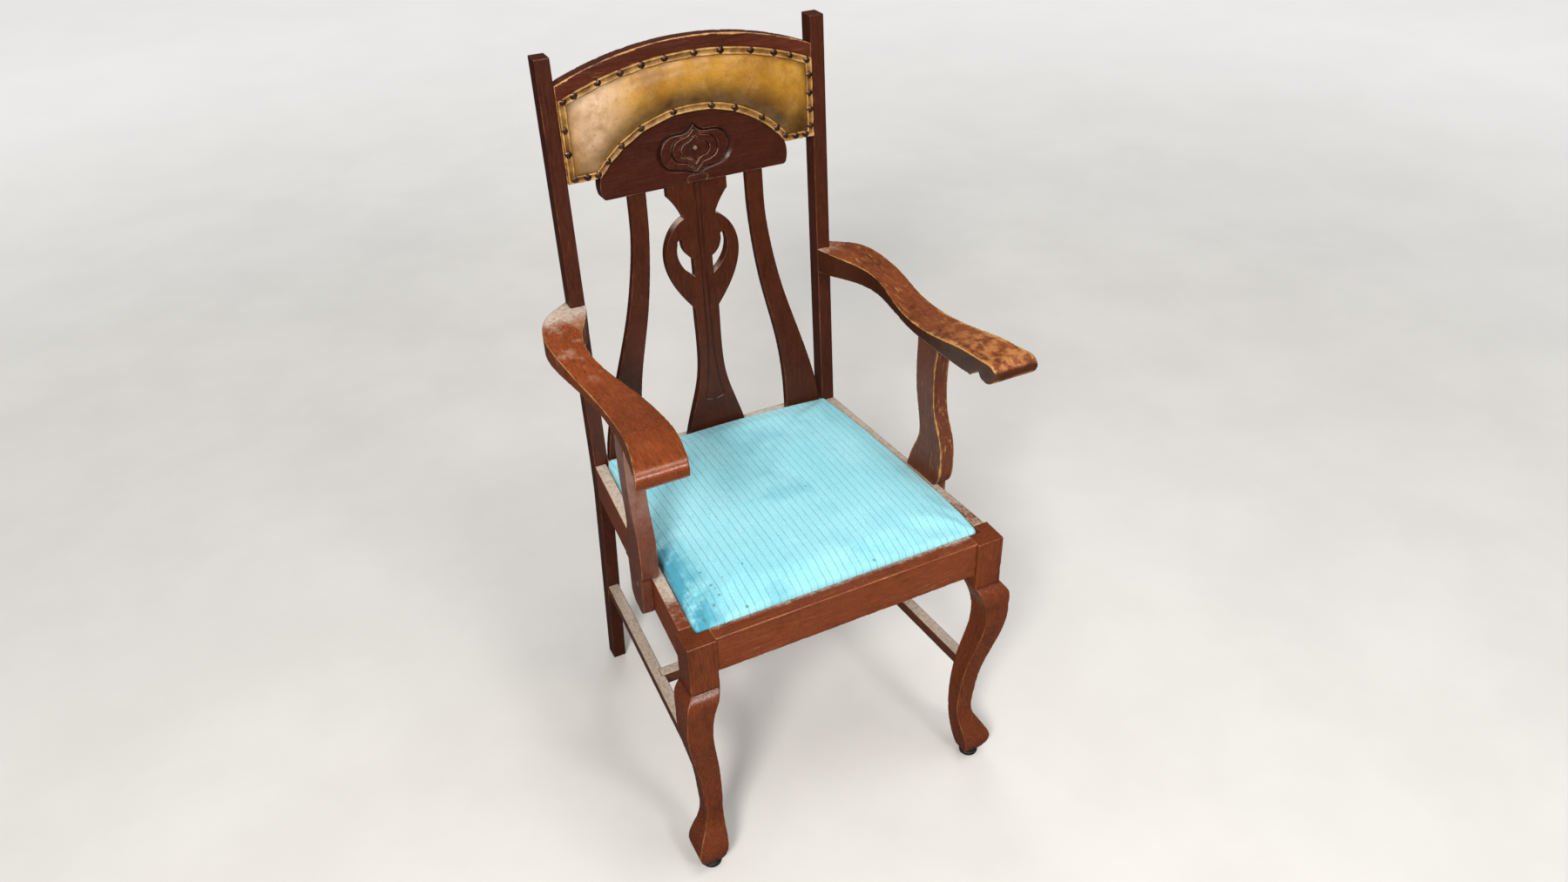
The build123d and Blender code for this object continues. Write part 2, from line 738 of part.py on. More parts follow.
def headrest_dome(inset, rise):
    # upright sections across the headrest, each a low arc over the crest rail
    sections = []
    for share in (-1, -0.9, -0.78, -0.6, -0.32, 0, 0.32, 0.6, 0.78, 0.9, 1):
        x = share * headrest_side(inset)
        low, high = headrest_bottom(x, inset), headrest_top(x, inset)
        bulge = rise * (1 - 0.55 * share**6)
        upright = Plane(back_plane.from_local_coords((x, 0, 0)), x_dir=back_plane.y_dir, z_dir=(1, 0, 0))
        with BuildSketch(upright) as section:
            with BuildLine():
                ThreePointArc((low, 0), ((low + high) / 2, bulge), (high, 0))
                Line((high, 0), (low, 0))
            make_face()
        sections.append(section.sketch)
    return sections


with BuildPart() as headrest_stuffing:
    loft(headrest_dome(border_width + pad_margin + leather_thickness, pad_rise - leather_thickness))

with BuildPart() as headrest_leather:
    extrude(headrest_outline(0), amount=leather_thickness)
    loft(headrest_dome(border_width + pad_margin, pad_rise))
    add(headrest_stuffing.part, mode=Mode.SUBTRACT)

with BuildPart() as headrest_border:
    extrude(headrest_outline(0), amount=leather_thickness + border_thickness)
    extrude(headrest_outline(border_width), amount=leather_thickness + border_thickness, mode=Mode.SUBTRACT)
    add(headrest_leather.part, mode=Mode.SUBTRACT)

with BuildPart() as nail:
    with BuildSketch(Plane.XZ):
        with BuildLine():
            Polyline(
                (0, nail_height),
                (0, -nail_shank_length),
                (nail_shank_radius, -nail_shank_length),
                (nail_shank_radius, 0),
                (nail_radius, 0),
            )
            dome_radius = (nail_radius**2 + nail_height**2) / (2 * nail_height)
            RadiusArc((nail_radius, 0), (0, nail_height), -dome_radius)
        make_face()
    revolve(axis=Axis.Z)

half_border = border_width / 2
nail_side = headrest_side(half_border)
nail_places = [
    *[(share * nail_side, headrest_top(share * nail_side, half_border)) for share in top_nails],
    *[(share * nail_side, headrest_bottom(share * nail_side, half_border)) for share in arch_nails + wing_nails],
    *[(-nail_side, wing_bottom + height) for height in left_nails],
    *[(nail_side, wing_bottom + height) for height in right_nails],
]
with BuildPart() as headrest_nails:
    nail_base = leather_thickness + border_thickness
    with Locations(*[back_plane * Location((x, y, nail_base)) for x, y in nail_places]):
        add(nail.part)


# Drop-in seat: a wooden frame with webbing, stuffing and a fabric cover turned under and tacked
def pad_plan(inset):
    return seat_plan(side_ledge + seat_gap + inset, opening_front + seat_gap + inset, post_front - seat_gap - inset)


pad_front = opening_front + seat_gap
pad_back = post_front - seat_gap
pad_length = pad_back - pad_front


def pad_board(inset, bottom, height):
    # the plan of the seat with its rounded corners, as a plain board
    with BuildPart() as board:
        with BuildSketch(Plane.XY.offset(bottom)) as plan:
            Polygon(*pad_plan(inset), align=None)
            fillet(plan.vertices(), seat_corner_radius - inset)
        extrude(amount=height)
    return board.part


def cushion(inset):
    # the crowned seat, drawn in round its top edge, inset from the outer skin
    bottom = rebate_floor + inset
    crowns = [
        (0, front_crown),
        (0.1, front_crown + 0.6 * (crown_height - front_crown)),
        (0.45, crown_height),
        (0.92, back_crown + 0.5 * (crown_height - back_crown)),
        (1, back_crown),
    ]
    sections = []
    for share, crown in crowns:
        y = pad_front + share * pad_length
        half = rail_x(y, side_ledge) + seat_gap
        top = seat_height + crown - inset
        with BuildSketch(Plane.XZ.offset(-y)) as section:
            with BuildLine():
                ThreePointArc((-half, top - side_fall), (0, top), (half, top - side_fall))
                Polyline((half, top - side_fall), (half, bottom), (-half, bottom), (-half, top - side_fall))
            make_face()
        sections.append(section.sketch)
    with BuildPart() as crowned:
        loft(sections)
        add(pad_board(inset, bottom, 4 * rebate_depth), mode=Mode.INTERSECT)
    return crowned.part


frame_bottom = rebate_floor + cover_thickness
frame_top = frame_bottom + frame_thickness
cushion_skin = cushion(0)
cushion_core = cushion(cover_thickness)
frame_board = pad_board(cover_thickness, frame_bottom, frame_thickness)
frame_front = pad_front + cover_thickness + frame_width
frame_back = pad_back - cover_thickness - frame_width

with BuildPart() as seat_cover:
    add(cushion_skin)
    add(cushion_core, mode=Mode.SUBTRACT)
    with BuildSketch(Plane.XY.offset(rebate_floor)):
        Polygon(*pad_plan(cover_turn_under), align=None)
    extrude(amount=cover_thickness, mode=Mode.SUBTRACT)

with BuildPart() as seat_stuffing:
    add(cushion_core)
    split(bisect_by=Plane.XY.offset(frame_top + webbing_thickness), keep=Keep.TOP)

with BuildPart() as seat_frame_front:
    add(frame_board)
    split(bisect_by=Plane.XZ.offset(-frame_front), keep=Keep.TOP)

with BuildPart() as seat_frame_back:
    add(frame_board)
    split(bisect_by=Plane.XZ.offset(-frame_back), keep=Keep.BOTTOM)

with BuildPart() as seat_frame_right:
    with BuildSketch(Plane.XY.offset(frame_bottom)):
        outer, inner = side_ledge + seat_gap + cover_thickness, side_ledge + seat_gap + cover_thickness + frame_width
        Polygon(
            (rail_x(frame_front, outer), frame_front),
            (rail_x(frame_back, outer), frame_back),
            (rail_x(frame_back, inner), frame_back),
            (rail_x(frame_front, inner), frame_front),
            align=None,
        )
    extrude(amount=frame_thickness)

with BuildPart() as seat_webbing:
    middle = (pad_front + pad_back) / 2
    with BuildSketch(Plane.XY.offset(frame_top)):
        with BuildSketch(mode=Mode.PRIVATE) as strips:
            with Locations((0, middle)):
                with GridLocations(0, pad_length / (webbing_across + 1), 1, webbing_across):
                    Rectangle(2 * front_half_width, webbing_width)
                with GridLocations(2 * post_inner / (webbing_along + 1), 0, webbing_along, 1):
                    Rectangle(webbing_width, 2 * seat_depth)
        Polygon(*pad_plan(cover_thickness + frame_width / 4), align=None)
        add(strips.sketch, mode=Mode.INTERSECT)
    extrude(amount=webbing_thickness)


def tack_line(start, end):
    # evenly spaced places from one corner to the next
    steps = [(i + 0.5) / tacks_along for i in range(tacks_along)]
    return [(start[0] + (end[0] - start[0]) * t, start[1] + (end[1] - start[1]) * t) for t in steps]


with BuildPart() as seat_tacks:
    corners = pad_plan(tack_inset)
    places = [p for i in range(4) for p in tack_line(corners[i], corners[(i + 1) % 4])]
    with BuildSketch(Plane.XY.offset(rebate_floor)):
        with Locations(*places):
            Circle(tack_radius)
    extrude(amount=-tack_head)
    with BuildSketch(Plane.XY.offset(rebate_floor)):
        with Locations(*places):
            Circle(tack_radius / 3)
    extrude(amount=tack_length)

# The left-hand pieces are mirror images of the right-hand ones
with BuildPart() as front_leg_left:
    mirror(front_leg_right.part, about=Plane.YZ)

with BuildPart() as back_post_left:
    mirror(back_post_right.part, about=Plane.YZ)

with BuildPart() as side_seat_rail_left:
    mirror(side_seat_rail_right.part, about=Plane.YZ)

with BuildPart() as front_corner_block_left:
    mirror(front_corner_block_right.part, about=Plane.YZ)

with BuildPart() as back_corner_block_left:
    mirror(back_corner_block_right.part, about=Plane.YZ)

with BuildPart() as side_stretcher_left:
    mirror(side_stretcher_right.part, about=Plane.YZ)

with BuildPart() as arm_left:
    mirror(arm_right.part, about=Plane.YZ)

with BuildPart() as arm_support_left:
    mirror(arm_support_right.part, about=Plane.YZ)

with BuildPart() as seat_frame_left:
    mirror(seat_frame_right.part, about=Plane.YZ)

pieces = {
    "front_leg_left": front_leg_left,
    "front_leg_right": front_leg_right,
    "front_glides": front_glides,
    "back_post_left": back_post_left,
    "back_post_right": back_post_right,
    "front_seat_rail": front_seat_rail,
    "side_seat_rail_left": side_seat_rail_left,
    "side_seat_rail_right": side_seat_rail_right,
    "back_seat_rail": back_seat_rail,
    "back_seat_bearer": back_seat_bearer,
    "front_corner_block_left": front_corner_block_left,
    "front_corner_block_right": front_corner_block_right,
    "back_corner_block_left": back_corner_block_left,
    "back_corner_block_right": back_corner_block_right,
    "corner_screws": corner_screws,
    "side_stretcher_left": side_stretcher_left,
    "side_stretcher_right": side_stretcher_right,
    "cross_stretcher": cross_stretcher,
    "crest_rail": crest_rail,
    "carved_tablet": carved_tablet,
    "centre_splat": centre_splat,
    "side_slat_left": side_slat_left,
    "side_slat_right": side_slat_right,
    "headrest_stuffing": headrest_stuffing,
    "headrest_leather": headrest_leather,
    "headrest_border": headrest_border,
    "headrest_nails": headrest_nails,
    "arm_left": arm_left,
    "arm_right": arm_right,
    "arm_screws": arm_screws,
    "arm_support_left": arm_support_left,
    "arm_support_right": arm_support_right,
    "support_screws": support_screws,
    "seat_frame_front": seat_frame_front,
    "seat_frame_back": seat_frame_back,
    "seat_frame_left": seat_frame_left,
    "seat_frame_right": seat_frame_right,
    "seat_webbing": seat_webbing,
    "seat_stuffing": seat_stuffing,
    "seat_cover": seat_cover,
    "seat_tacks": seat_tacks,
}
for name, piece in pieces.items():
    piece.part.label = name
    export_step(piece.part, f"parts/{name}.step")
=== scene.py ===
import math

import bmesh
import bpy
import numpy as np
from mathutils import Matrix, Vector


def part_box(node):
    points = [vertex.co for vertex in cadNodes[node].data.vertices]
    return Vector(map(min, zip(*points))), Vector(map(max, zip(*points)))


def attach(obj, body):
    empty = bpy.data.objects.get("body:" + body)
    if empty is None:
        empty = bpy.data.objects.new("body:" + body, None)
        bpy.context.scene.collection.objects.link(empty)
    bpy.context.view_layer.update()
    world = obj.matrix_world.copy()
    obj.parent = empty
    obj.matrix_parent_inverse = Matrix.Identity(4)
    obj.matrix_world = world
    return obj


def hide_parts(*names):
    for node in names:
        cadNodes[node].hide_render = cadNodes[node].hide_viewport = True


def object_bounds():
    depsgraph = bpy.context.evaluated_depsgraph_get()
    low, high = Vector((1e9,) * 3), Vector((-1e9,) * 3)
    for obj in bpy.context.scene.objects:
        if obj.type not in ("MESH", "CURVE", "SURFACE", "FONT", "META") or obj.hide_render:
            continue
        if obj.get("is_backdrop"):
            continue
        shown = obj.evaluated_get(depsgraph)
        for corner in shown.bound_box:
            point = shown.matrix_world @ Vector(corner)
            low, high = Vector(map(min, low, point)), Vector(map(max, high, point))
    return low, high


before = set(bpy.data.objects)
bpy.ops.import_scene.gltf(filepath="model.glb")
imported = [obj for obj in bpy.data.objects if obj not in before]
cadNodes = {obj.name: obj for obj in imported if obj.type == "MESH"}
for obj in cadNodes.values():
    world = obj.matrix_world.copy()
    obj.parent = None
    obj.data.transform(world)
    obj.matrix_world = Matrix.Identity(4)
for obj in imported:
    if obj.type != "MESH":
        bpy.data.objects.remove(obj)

scene = bpy.context.scene
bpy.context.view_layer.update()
print("frame loaded,", len(cadNodes), "nodes")

# the photograph's viewpoint, in metres and radians
cameraSettings = {
    "place": (-0.62075, -1.33065, 1.55867),
    "yaw": 0.4515,
    "pitch": -0.5999,
    "roll": -0.0272,
    "lens": 27.534,
    "sensor": 36.0,
}


def placeCamera(s):
    yaw, pitch, roll = s["yaw"], s["pitch"], s["roll"]
    ahead = Vector((math.sin(yaw) * math.cos(pitch), math.cos(yaw) * math.cos(pitch), math.sin(pitch)))
    level = Vector((math.cos(yaw), -math.sin(yaw), 0))
    upright = level.cross(ahead)
    right = math.cos(roll) * level + math.sin(roll) * upright
    up = right.cross(ahead)
    data = bpy.data.cameras.new("photoCamera")
    data.lens, data.sensor_width, data.sensor_fit = s["lens"], s["sensor"], "HORIZONTAL"
    camera = bpy.data.objects.new("photoCamera", data)
    scene.collection.objects.link(camera)
    turn = Matrix((right, up, -ahead)).transposed().to_4x4()
    camera.matrix_world = Matrix.Translation(s["place"]) @ turn
    scene.camera = camera


placeCamera(cameraSettings)
scene.view_settings.view_transform = "Standard"
print("camera placed")


# small helpers for node trees
def fill(node, sockets):
    # a signal is linked, anything else is set
    for key, value in sockets.items():
        if isinstance(value, signal):
            node.id_data.links.new(value.socket, node.inputs[key])
        else:
            node.inputs[key].default_value = value


def addNode(tree, kind, sockets=None, **settings):
    made = tree.nodes.new(kind)
    for name, value in settings.items():
        setattr(made, name, value)
    fill(made, sockets or {})
    return made


def signals(node):
    return {socket.name: signal(socket) for socket in node.outputs}


class signal:
    # a node's output; what is done with it adds further nodes to the same tree
    def __init__(self, socket):
        self.socket = socket

    def into(self, kind, sockets, output=0, **settings):
        return signal(addNode(self.socket.id_data, kind, sockets, **settings).outputs[output])

    def math(self, operation, *others):
        kind = "ShaderNodeMath" if self.socket.type == "VALUE" else "ShaderNodeVectorMath"
        return self.into(kind, dict(enumerate((self, *others))), operation=operation)

    def __add__(self, other):
        return self.math("ADD", other)

    def __sub__(self, other):
        return self.math("SUBTRACT", other)

    def __rsub__(self, number):
        return self.into("ShaderNodeMath", {0: number, 1: self}, operation="SUBTRACT")

    def __mul__(self, other):
        return self.math("MULTIPLY", other)

    def clamped(self):
        self.socket.node.use_clamp = True
        return self

    def spread(self, low, high, toLow=0.0, toHigh=1.0):
        sockets = {"Value": self, "From Min": low, "From Max": high, "To Min": toLow, "To Max": toHigh}
        return self.into("ShaderNodeMapRange", sockets, interpolation_type="SMOOTHSTEP")

    def between(self, first, second):
        # the first colour at 0, the second at 1
        return self.into("ShaderNodeMix", {0: self, 6: first, 7: second}, 2, data_type="RGBA")

    def noise(self, scale, detail, rough):
        sockets = {"Vector": self, "Scale": scale, "Detail": detail, "Roughness": rough}
        return self.into("ShaderNodeTexNoise", sockets)

    def parts(self):
        # X, Y and Z
        split = addNode(self.socket.id_data, "ShaderNodeSeparateXYZ", {0: self})
        return list(signals(split).values())

    def attribute(self, name):
        return self.into("ShaderNodeAttribute", {}, "Fac", attribute_name=name)

    def through(self, group, sockets):
        given = {"Vector": self, **sockets}
        return signals(addNode(self.socket.id_data, "ShaderNodeGroup", given, node_tree=group))


def srgb(red, green, blue):
    def linear(v):
        v /= 255
        return v / 12.92 if v <= 0.04045 else ((v + 0.055) / 1.055) ** 2.4

    return (linear(red), linear(green), linear(blue), 1.0)


def toned(colour, factor):
    return tuple(v * factor for v in colour[:3]) + (1.0,)


def layered(colour, *layers):
    for mask, tint in layers:
        colour = mask.between(colour, tint)
    return colour


def newMaterial(name):
    made = bpy.data.materials.new(name)
    made.use_nodes = True
    return made, signals(addNode(made.node_tree, "ShaderNodeTexCoord"))["Object"]


def surface(made, colour, rough, height, bump, more=None):
    strength, distance = bump
    relief = {"Height": height, "Strength": strength, "Distance": distance}
    sockets = {"Base Color": colour, "Roughness": rough, "Normal": height.into("ShaderNodeBump", relief)}
    fill(made.node_tree.nodes["Principled BSDF"], {**sockets, **(more or {})})
    return made


# shared effects; the grain runs along X of the vector that each is given
def newGroup(name, colours, values, outputs):
    tree = bpy.data.node_groups.new(name, "ShaderNodeTree")
    kinds = {"Vector": "Vector", **dict.fromkeys(colours, "Color"), **dict.fromkeys(values, "Float")}
    for label, kind in kinds.items():
        socket = tree.interface.new_socket(label, in_out="INPUT", socket_type="NodeSocket" + kind)
        if kind == "Float":
            socket.default_value = values[label]
    for label in outputs:
        kind = "Color" if label == "Color" else "Float"
        tree.interface.new_socket(label, in_out="OUTPUT", socket_type="NodeSocket" + kind)
    return tree, signals(addNode(tree, "NodeGroupInput"))


def makeWoodGrain():
    tree, given = newGroup("woodGrain", ("Deep", "Light"), {"Pores": 0.5}, ("Color", "Height", "Streak"))
    vector = given["Vector"]
    broad = (vector * (1.5, 14, 14)).noise(1, 3, 0.55)
    streak = (vector * (20, 560, 560)).noise(1, 4, 0.62)
    mottle = vector.noise(240, 4, 0.65)
    fibre = (vector * (60, 1250, 1250)).noise(1, 2, 0.5)
    figure = broad * 0.3 + streak * 0.4 + mottle * 0.3
    colour = figure.spread(0.36, 0.64).between(given["Deep"], given["Light"])
    pores = fibre.spread(0.55, 0.7) * given["Pores"]
    shade = {0: 1.0, 6: colour, 7: (0.36, 0.3, 0.27, 1)}
    darker = colour.into("ShaderNodeMix", shade, 2, data_type="RGBA", blend_type="MULTIPLY")
    results = {"Color": pores.between(colour, darker), "Height": streak * 0.5 - pores * 0.8, "Streak": streak}
    addNode(tree, "NodeGroupOutput", results)
    return tree


def tintGroup(tree, given, mask, most=None):
    # ends a group that lays its tint over a colour
    share = mask * most if most else mask
    addNode(tree, "NodeGroupOutput", {"Color": share.between(given["Color"], given["Tint"]), "Mask": mask})
    return tree


def makeEdgeWear():
    # the edge value is 1 on a ridge and fades to 0 within about a centimetre
    # the amount is how far down from the ridge the wear reaches
    values = {"Edge": 0.0, "Amount": 0.1}
    tree, given = newGroup("edgeWear", ("Color", "Tint"), values, ("Color", "Mask"))
    patches = given["Vector"].noise(19, 5, 0.65).spread(0.36, 0.66, 0.1, 1.25)
    streaks = (given["Vector"] * (45, 380, 380)).noise(1, 4, 0.65)
    reach = (given["Amount"] * patches).math("MAXIMUM", 0.02)
    depth = (given["Edge"] - 1.0 + reach).math("DIVIDE", reach)
    broken = depth + (streaks - 0.5) * 2.2
    return tintGroup(tree, given, broken.spread(0.3, 0.8) * depth.spread(-0.1, 0.15), 0.85)


def makeSettledDust():
    values = {"Up": 0.0, "Amount": 0.5, "Specks": 0.0}
    tree, given = newGroup("settledDust", ("Color", "Tint"), values, ("Color", "Mask"))
    vector = given["Vector"]
    powder = vector.noise(210, 4, 0.7)
    cloud = vector.noise(13, 5, 0.6) * 0.45 + vector.noise(75, 4, 0.65) * 0.25 + powder * 0.3
    level = cloud - 0.95 + given["Amount"]
    film = level.spread(0.0, 0.3) * powder.spread(0.36, 0.58, 0.6, 0.96)
    # rare ragged flecks
    jitter = vector.into("ShaderNodeTexNoise", {"Vector": vector, "Scale": 700.0}, 1)
    bent = vector + jitter * (0.004, 0.004, 0.004)
    cells = signals(addNode(tree, "ShaderNodeTexVoronoi", {"Vector": bent, "Scale": 120.0}))
    rare = vector.into("ShaderNodeSeparateColor", {0: cells["Color"]}).spread(0.84, 0.86)
    fleck = cells["Distance"].math("LESS_THAN", 0.15) * rare * given["Specks"]
    lying = given["Up"].spread(0.55, 0.95)
    return tintGroup(tree, given, (film.math("MAXIMUM", fleck) * lying).clamped())


def makeScratches():
    # pale rubbed lines
    tree, given = newGroup("scratches", ("Color", "Tint"), {"Amount": 0.3}, ("Color", "Mask"))
    lines = (given["Vector"] * (26, 330, 330)).noise(1, 3, 0.6).spread(0.56, 0.68)
    where = given["Vector"].noise(21, 4, 0.6).spread(0.42, 0.6)
    return tintGroup(tree, given, (lines * where * given["Amount"]).clamped())


woodGrain = makeWoodGrain()
edgeWear = makeEdgeWear()
settledDust = makeSettledDust()
scratches = makeScratches()
print("shared effects ready")

# stain colours; the grain goes a little darker and lighter
woodTones = {
    "crest": srgb(80, 31, 12),
    "tablet": srgb(63, 24, 10),
    "back": srgb(69, 30, 13),
    "post": srgb(68, 30, 16),
    "arm": srgb(136, 64, 28),
    "wornArm": srgb(128, 64, 29),
    "rail": srgb(117, 54, 24),
    "leg": srgb(103, 48, 21),
    "support": srgb(106, 58, 40),
    "stretcher": srgb(90, 51, 33),
}
grainRange = {"deep": 0.68, "light": 1.28}
dustTint, hollowShadeAndGrime = srgb(200, 183, 166), srgb(26, 13, 9)
grainOrder = {"x": (0, 1, 2), "y": (1, 2, 0), "z": (2, 0, 1)}


def alongGrain(coords, grain, shift):
    axes = coords.parts()
    turned = {i: axes[axis] for i, axis in enumerate(grainOrder[grain])}
    return axes, coords.into("ShaderNodeCombineXYZ", turned) + shift


def woodFinish(name, s):
    made, coords = newMaterial(name)
    shift = tuple(share * s["shift"] for share in (1, 0.37, 0.61))
    axes, vector = alongGrain(coords, s["grain"], shift)
    tone, bare = woodTones[s["tone"]], s["bare"]

    def amount(key):
        # an even amount, or one that changes along Y or Z from the first to the second place
        for axis, ending in ((1, "Along"), (2, "Rise")):
            if key + ending in s:
                start, end, most = s[key + ending]
                return axes[axis].spread(start, end, s.get(key, 0.0), most)
        return s.get(key, 0.0)

    deep, light = (toned(tone, grainRange[end]) for end in ("deep", "light"))
    grain = vector.through(woodGrain, {"Deep": deep, "Light": light, "Pores": s["pores"]})
    rubbedWood = vector.noise(90, 4, 0.6).spread(0.35, 0.65).between(toned(bare, 0.55), bare)
    clouds = vector.noise(24, 7, 0.72).spread(0.48, 0.66, 0.0, s["stain"])
    colour = clouds.between(grain["Color"], toned(tone, 0.3))
    rubbed = vector.through(scratches, {"Color": colour, "Tint": rubbedWood, "Amount": amount("scratch")})
    wear = {"Color": rubbed["Color"], "Tint": rubbedWood, "Edge": coords.attribute("edge")}
    worn = vector.through(edgeWear, {**wear, "Amount": amount("wear")})
    # inner corners and carved grooves are painted darker: grime together with painted shade
    colour = (coords.attribute("hollow") * 0.75).between(worn["Color"], hollowShadeAndGrime)
    if "haze" in s:
        veil = vector.noise(s["hazeScale"], 6, 0.7).spread(*s["hazeClumps"]) * amount("haze")
        colour = veil.between(colour, s["hazeTint"])
    up = coords.into("ShaderNodeNewGeometry", {}, "Normal").parts()[2]
    # painted shade: faces that lean away from up are mixed towards a darker tone, partly the less handled
    # wood of the sides and partly the shade that falls on them
    if "paintedSideShade" in s:
        shade = up.math("ABSOLUTE").spread(0.6, 0.25, 0.0, s["paintedSideShade"])
        colour = shade.between(colour, toned(tone, 0.22))
    dust = {"Color": colour, "Tint": dustTint, "Up": up, "Amount": amount("dust"), "Specks": s["specks"]}
    dusty = vector.through(settledDust, dust)
    satin = grain["Streak"].spread(0.3, 0.7, s["gloss"] - 0.05, s["gloss"] + 0.1)
    rough = (satin + dusty["Mask"] * 0.45 + worn["Mask"] * 0.15).clamped()
    height = grain["Height"] - worn["Mask"] * 0.7
    return surface(made, dusty["Color"], rough, height, (0.22, 0.0006), {"Specular IOR Level": s["shine"]})


# the raked plane of the back: x across, y up from the seat, z out of its face
backPlane = {"start": Vector((0, 0.193695, 0.46)), "angle": math.atan2(0.0315, 0.6325)}
backUp = Vector((0, math.sin(backPlane["angle"]), math.cos(backPlane["angle"])))
backOut = Vector((0, -math.cos(backPlane["angle"]), math.sin(backPlane["angle"])))


def onBack(x, y, z):
    return backPlane["start"] + Vector((x, 0, 0)) + backUp * y + backOut * z


def offBack(places):
    # x, y and z on the plane, of an array of places
    local = places - np.array(backPlane["start"])
    return local[:, 0], local @ np.array(backUp), local @ np.array(backOut)


# meshes and pieces
def newPiece(name, mesh):
    made = bpy.data.objects.new(name, mesh)
    scene.collection.objects.link(made)
    return made


def dress(piece, body, slot, *nodes, finish=None):
    if finish:
        piece.data.materials.append(finish)
    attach(piece, body)
    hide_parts(*nodes)


def evaluatedMesh(piece):
    graph = bpy.context.evaluated_depsgraph_get()
    return bpy.data.meshes.new_from_object(piece.evaluated_get(graph))


def settleModifiers(piece):
    mesh = evaluatedMesh(piece)
    piece.modifiers.clear()
    piece.data = mesh


def merged(mesh, gap):
    build = bmesh.new()
    build.from_mesh(mesh)
    bmesh.ops.remove_doubles(build, verts=build.verts, dist=gap)
    return build


def gridFaces(rows, columns, closed=False):
    across = columns if closed else columns - 1
    corners = [(r * columns, c, (c + 1) % columns) for r in range(rows - 1) for c in range(across)]
    return [(r + c, r + d, r + columns + d, r + columns + c) for r, c, d in corners]


def gridRing(rows, columns):
    # the outline of a grid, once round
    index = np.arange(rows * columns).reshape(rows, columns)
    return list(index[0]) + list(index[1:, -1]) + list(index[-1, -2::-1]) + list(index[-2:0:-1, 0])


def bandFaces(first, second):
    # faces between two closed rounds of points
    return list(zip(first, second, second[1:] + second[:1], first[1:] + first[:1]))


def turnedOver(faces, count):
    return [tuple(count + i for i in reversed(face)) for face in faces]


def meshFrom(name, places, faces):
    mesh = bpy.data.meshes.new(name)
    mesh.from_pydata([tuple(p) for p in places], [], faces)
    build = merged(mesh, 1e-6)
    bmesh.ops.recalc_face_normals(build, faces=build.faces)
    build.to_mesh(mesh)
    build.free()
    mesh.shade_smooth()
    return mesh


def vertexArray(mesh, what="co"):
    values = np.empty(len(mesh.vertices) * 3)
    mesh.vertices.foreach_get(what, values)
    return values.reshape(-1, 3)


def movePoints(mesh, places):
    mesh.vertices.foreach_set("co", places.ravel())
    mesh.update()


def storeValue(mesh, name, values):
    attribute = mesh.attributes.get(name) or mesh.attributes.new(name, "FLOAT", "POINT")
    attribute.data.foreach_set("value", np.asarray(values, np.float32))


def readValue(mesh, name):
    values = np.empty(len(mesh.vertices), np.float32)
    mesh.attributes[name].data.foreach_get("value", values)
    return values


# wooden pieces: the CAD solid with softened, hand-worn edges
markReach = {"edge": (1, 0.012), "hollow": (-1, 0.003)}  # way of the bend and how far its mark fades
fullBend = 0.1


def markEdges(mesh, size):
    # ridges go to "edge" and inner corners to "hollow", for wear, and for grime with painted shade
    places, normals = vertexArray(mesh), vertexArray(mesh, "normal")
    ends = np.empty(len(mesh.edges) * 2, int)
    mesh.edges.foreach_get("vertices", ends)
    first, second = ends[0::2], ends[1::2]
    count = np.maximum(np.bincount(ends, minlength=len(places)), 1)

    def nearby(values):
        ahead = np.bincount(first, values[second], len(places))
        return (ahead + np.bincount(second, values[first], len(places))) / count

    pull = np.stack([nearby(places[:, k]) for k in range(3)], 1) - places
    bend = -(pull * normals).sum(1) / size
    long = np.linalg.norm(places[first] - places[second], axis=1)
    for name, (way, reach) in markReach.items():
        mark = np.clip(way * bend / fullBend, 0, 1)
        for _ in range(int(reach / size) + 1):
            wider = mark.copy()
            np.maximum.at(wider, first, mark[second] - long / reach)
            np.maximum.at(wider, second, mark[first] - long / reach)
            mark = wider
        storeValue(mesh, name, np.clip(mark, 0, 1))


knocks = {"pitches": (110.0, 190.0, 320.0, 610.0), "from": 0.55, "most": 1.2}


def dent(piece, depth):
    # small knocks, deepest on the ridges
    mesh = piece.data
    places, normals = vertexArray(mesh), vertexArray(mesh, "normal")
    waves = np.zeros(len(places))
    for k, pitch in enumerate(knocks["pitches"]):
        turn = np.array([math.sin(1.3 * k + 0.4), math.cos(2.1 * k), math.sin(0.7 * k + 1.9)])
        other = np.array([math.cos(1.7 * k), math.sin(0.9 * k + 0.6), math.cos(1.1 * k + 0.8)])
        waves += np.sin(pitch * places @ turn + k) * np.sin(0.83 * pitch * places @ other + 2 * k)
    knock = np.clip(waves - knocks["from"], 0, knocks["most"]) * depth * readValue(mesh, "edge") ** 3
    movePoints(mesh, places - normals * knock[:, None])


def softened(name, node, size, rounds=2):
    mesh = cadNodes[node].data.copy()
    mesh.materials.clear()
    build = merged(mesh, 1e-5)
    build.to_mesh(mesh)
    build.free()
    piece = newPiece(name, mesh)
    cells, mostScale = max(piece.dimensions) / size, 0.98  # the modifier takes a scale of up to 0.99
    remesh = piece.modifiers.new("even", "REMESH")
    remesh.mode, remesh.sharpness, remesh.use_remove_disconnected = "SHARP", 1.0, False
    remesh.octree_depth = math.ceil(math.log2(cells / mostScale))
    remesh.scale = cells / 2**remesh.octree_depth
    smooth = piece.modifiers.new("soft", "SMOOTH")
    smooth.factor, smooth.iterations = 0.5, rounds
    settleModifiers(piece)
    piece.data.shade_smooth()
    markEdges(piece.data, size)
    return piece


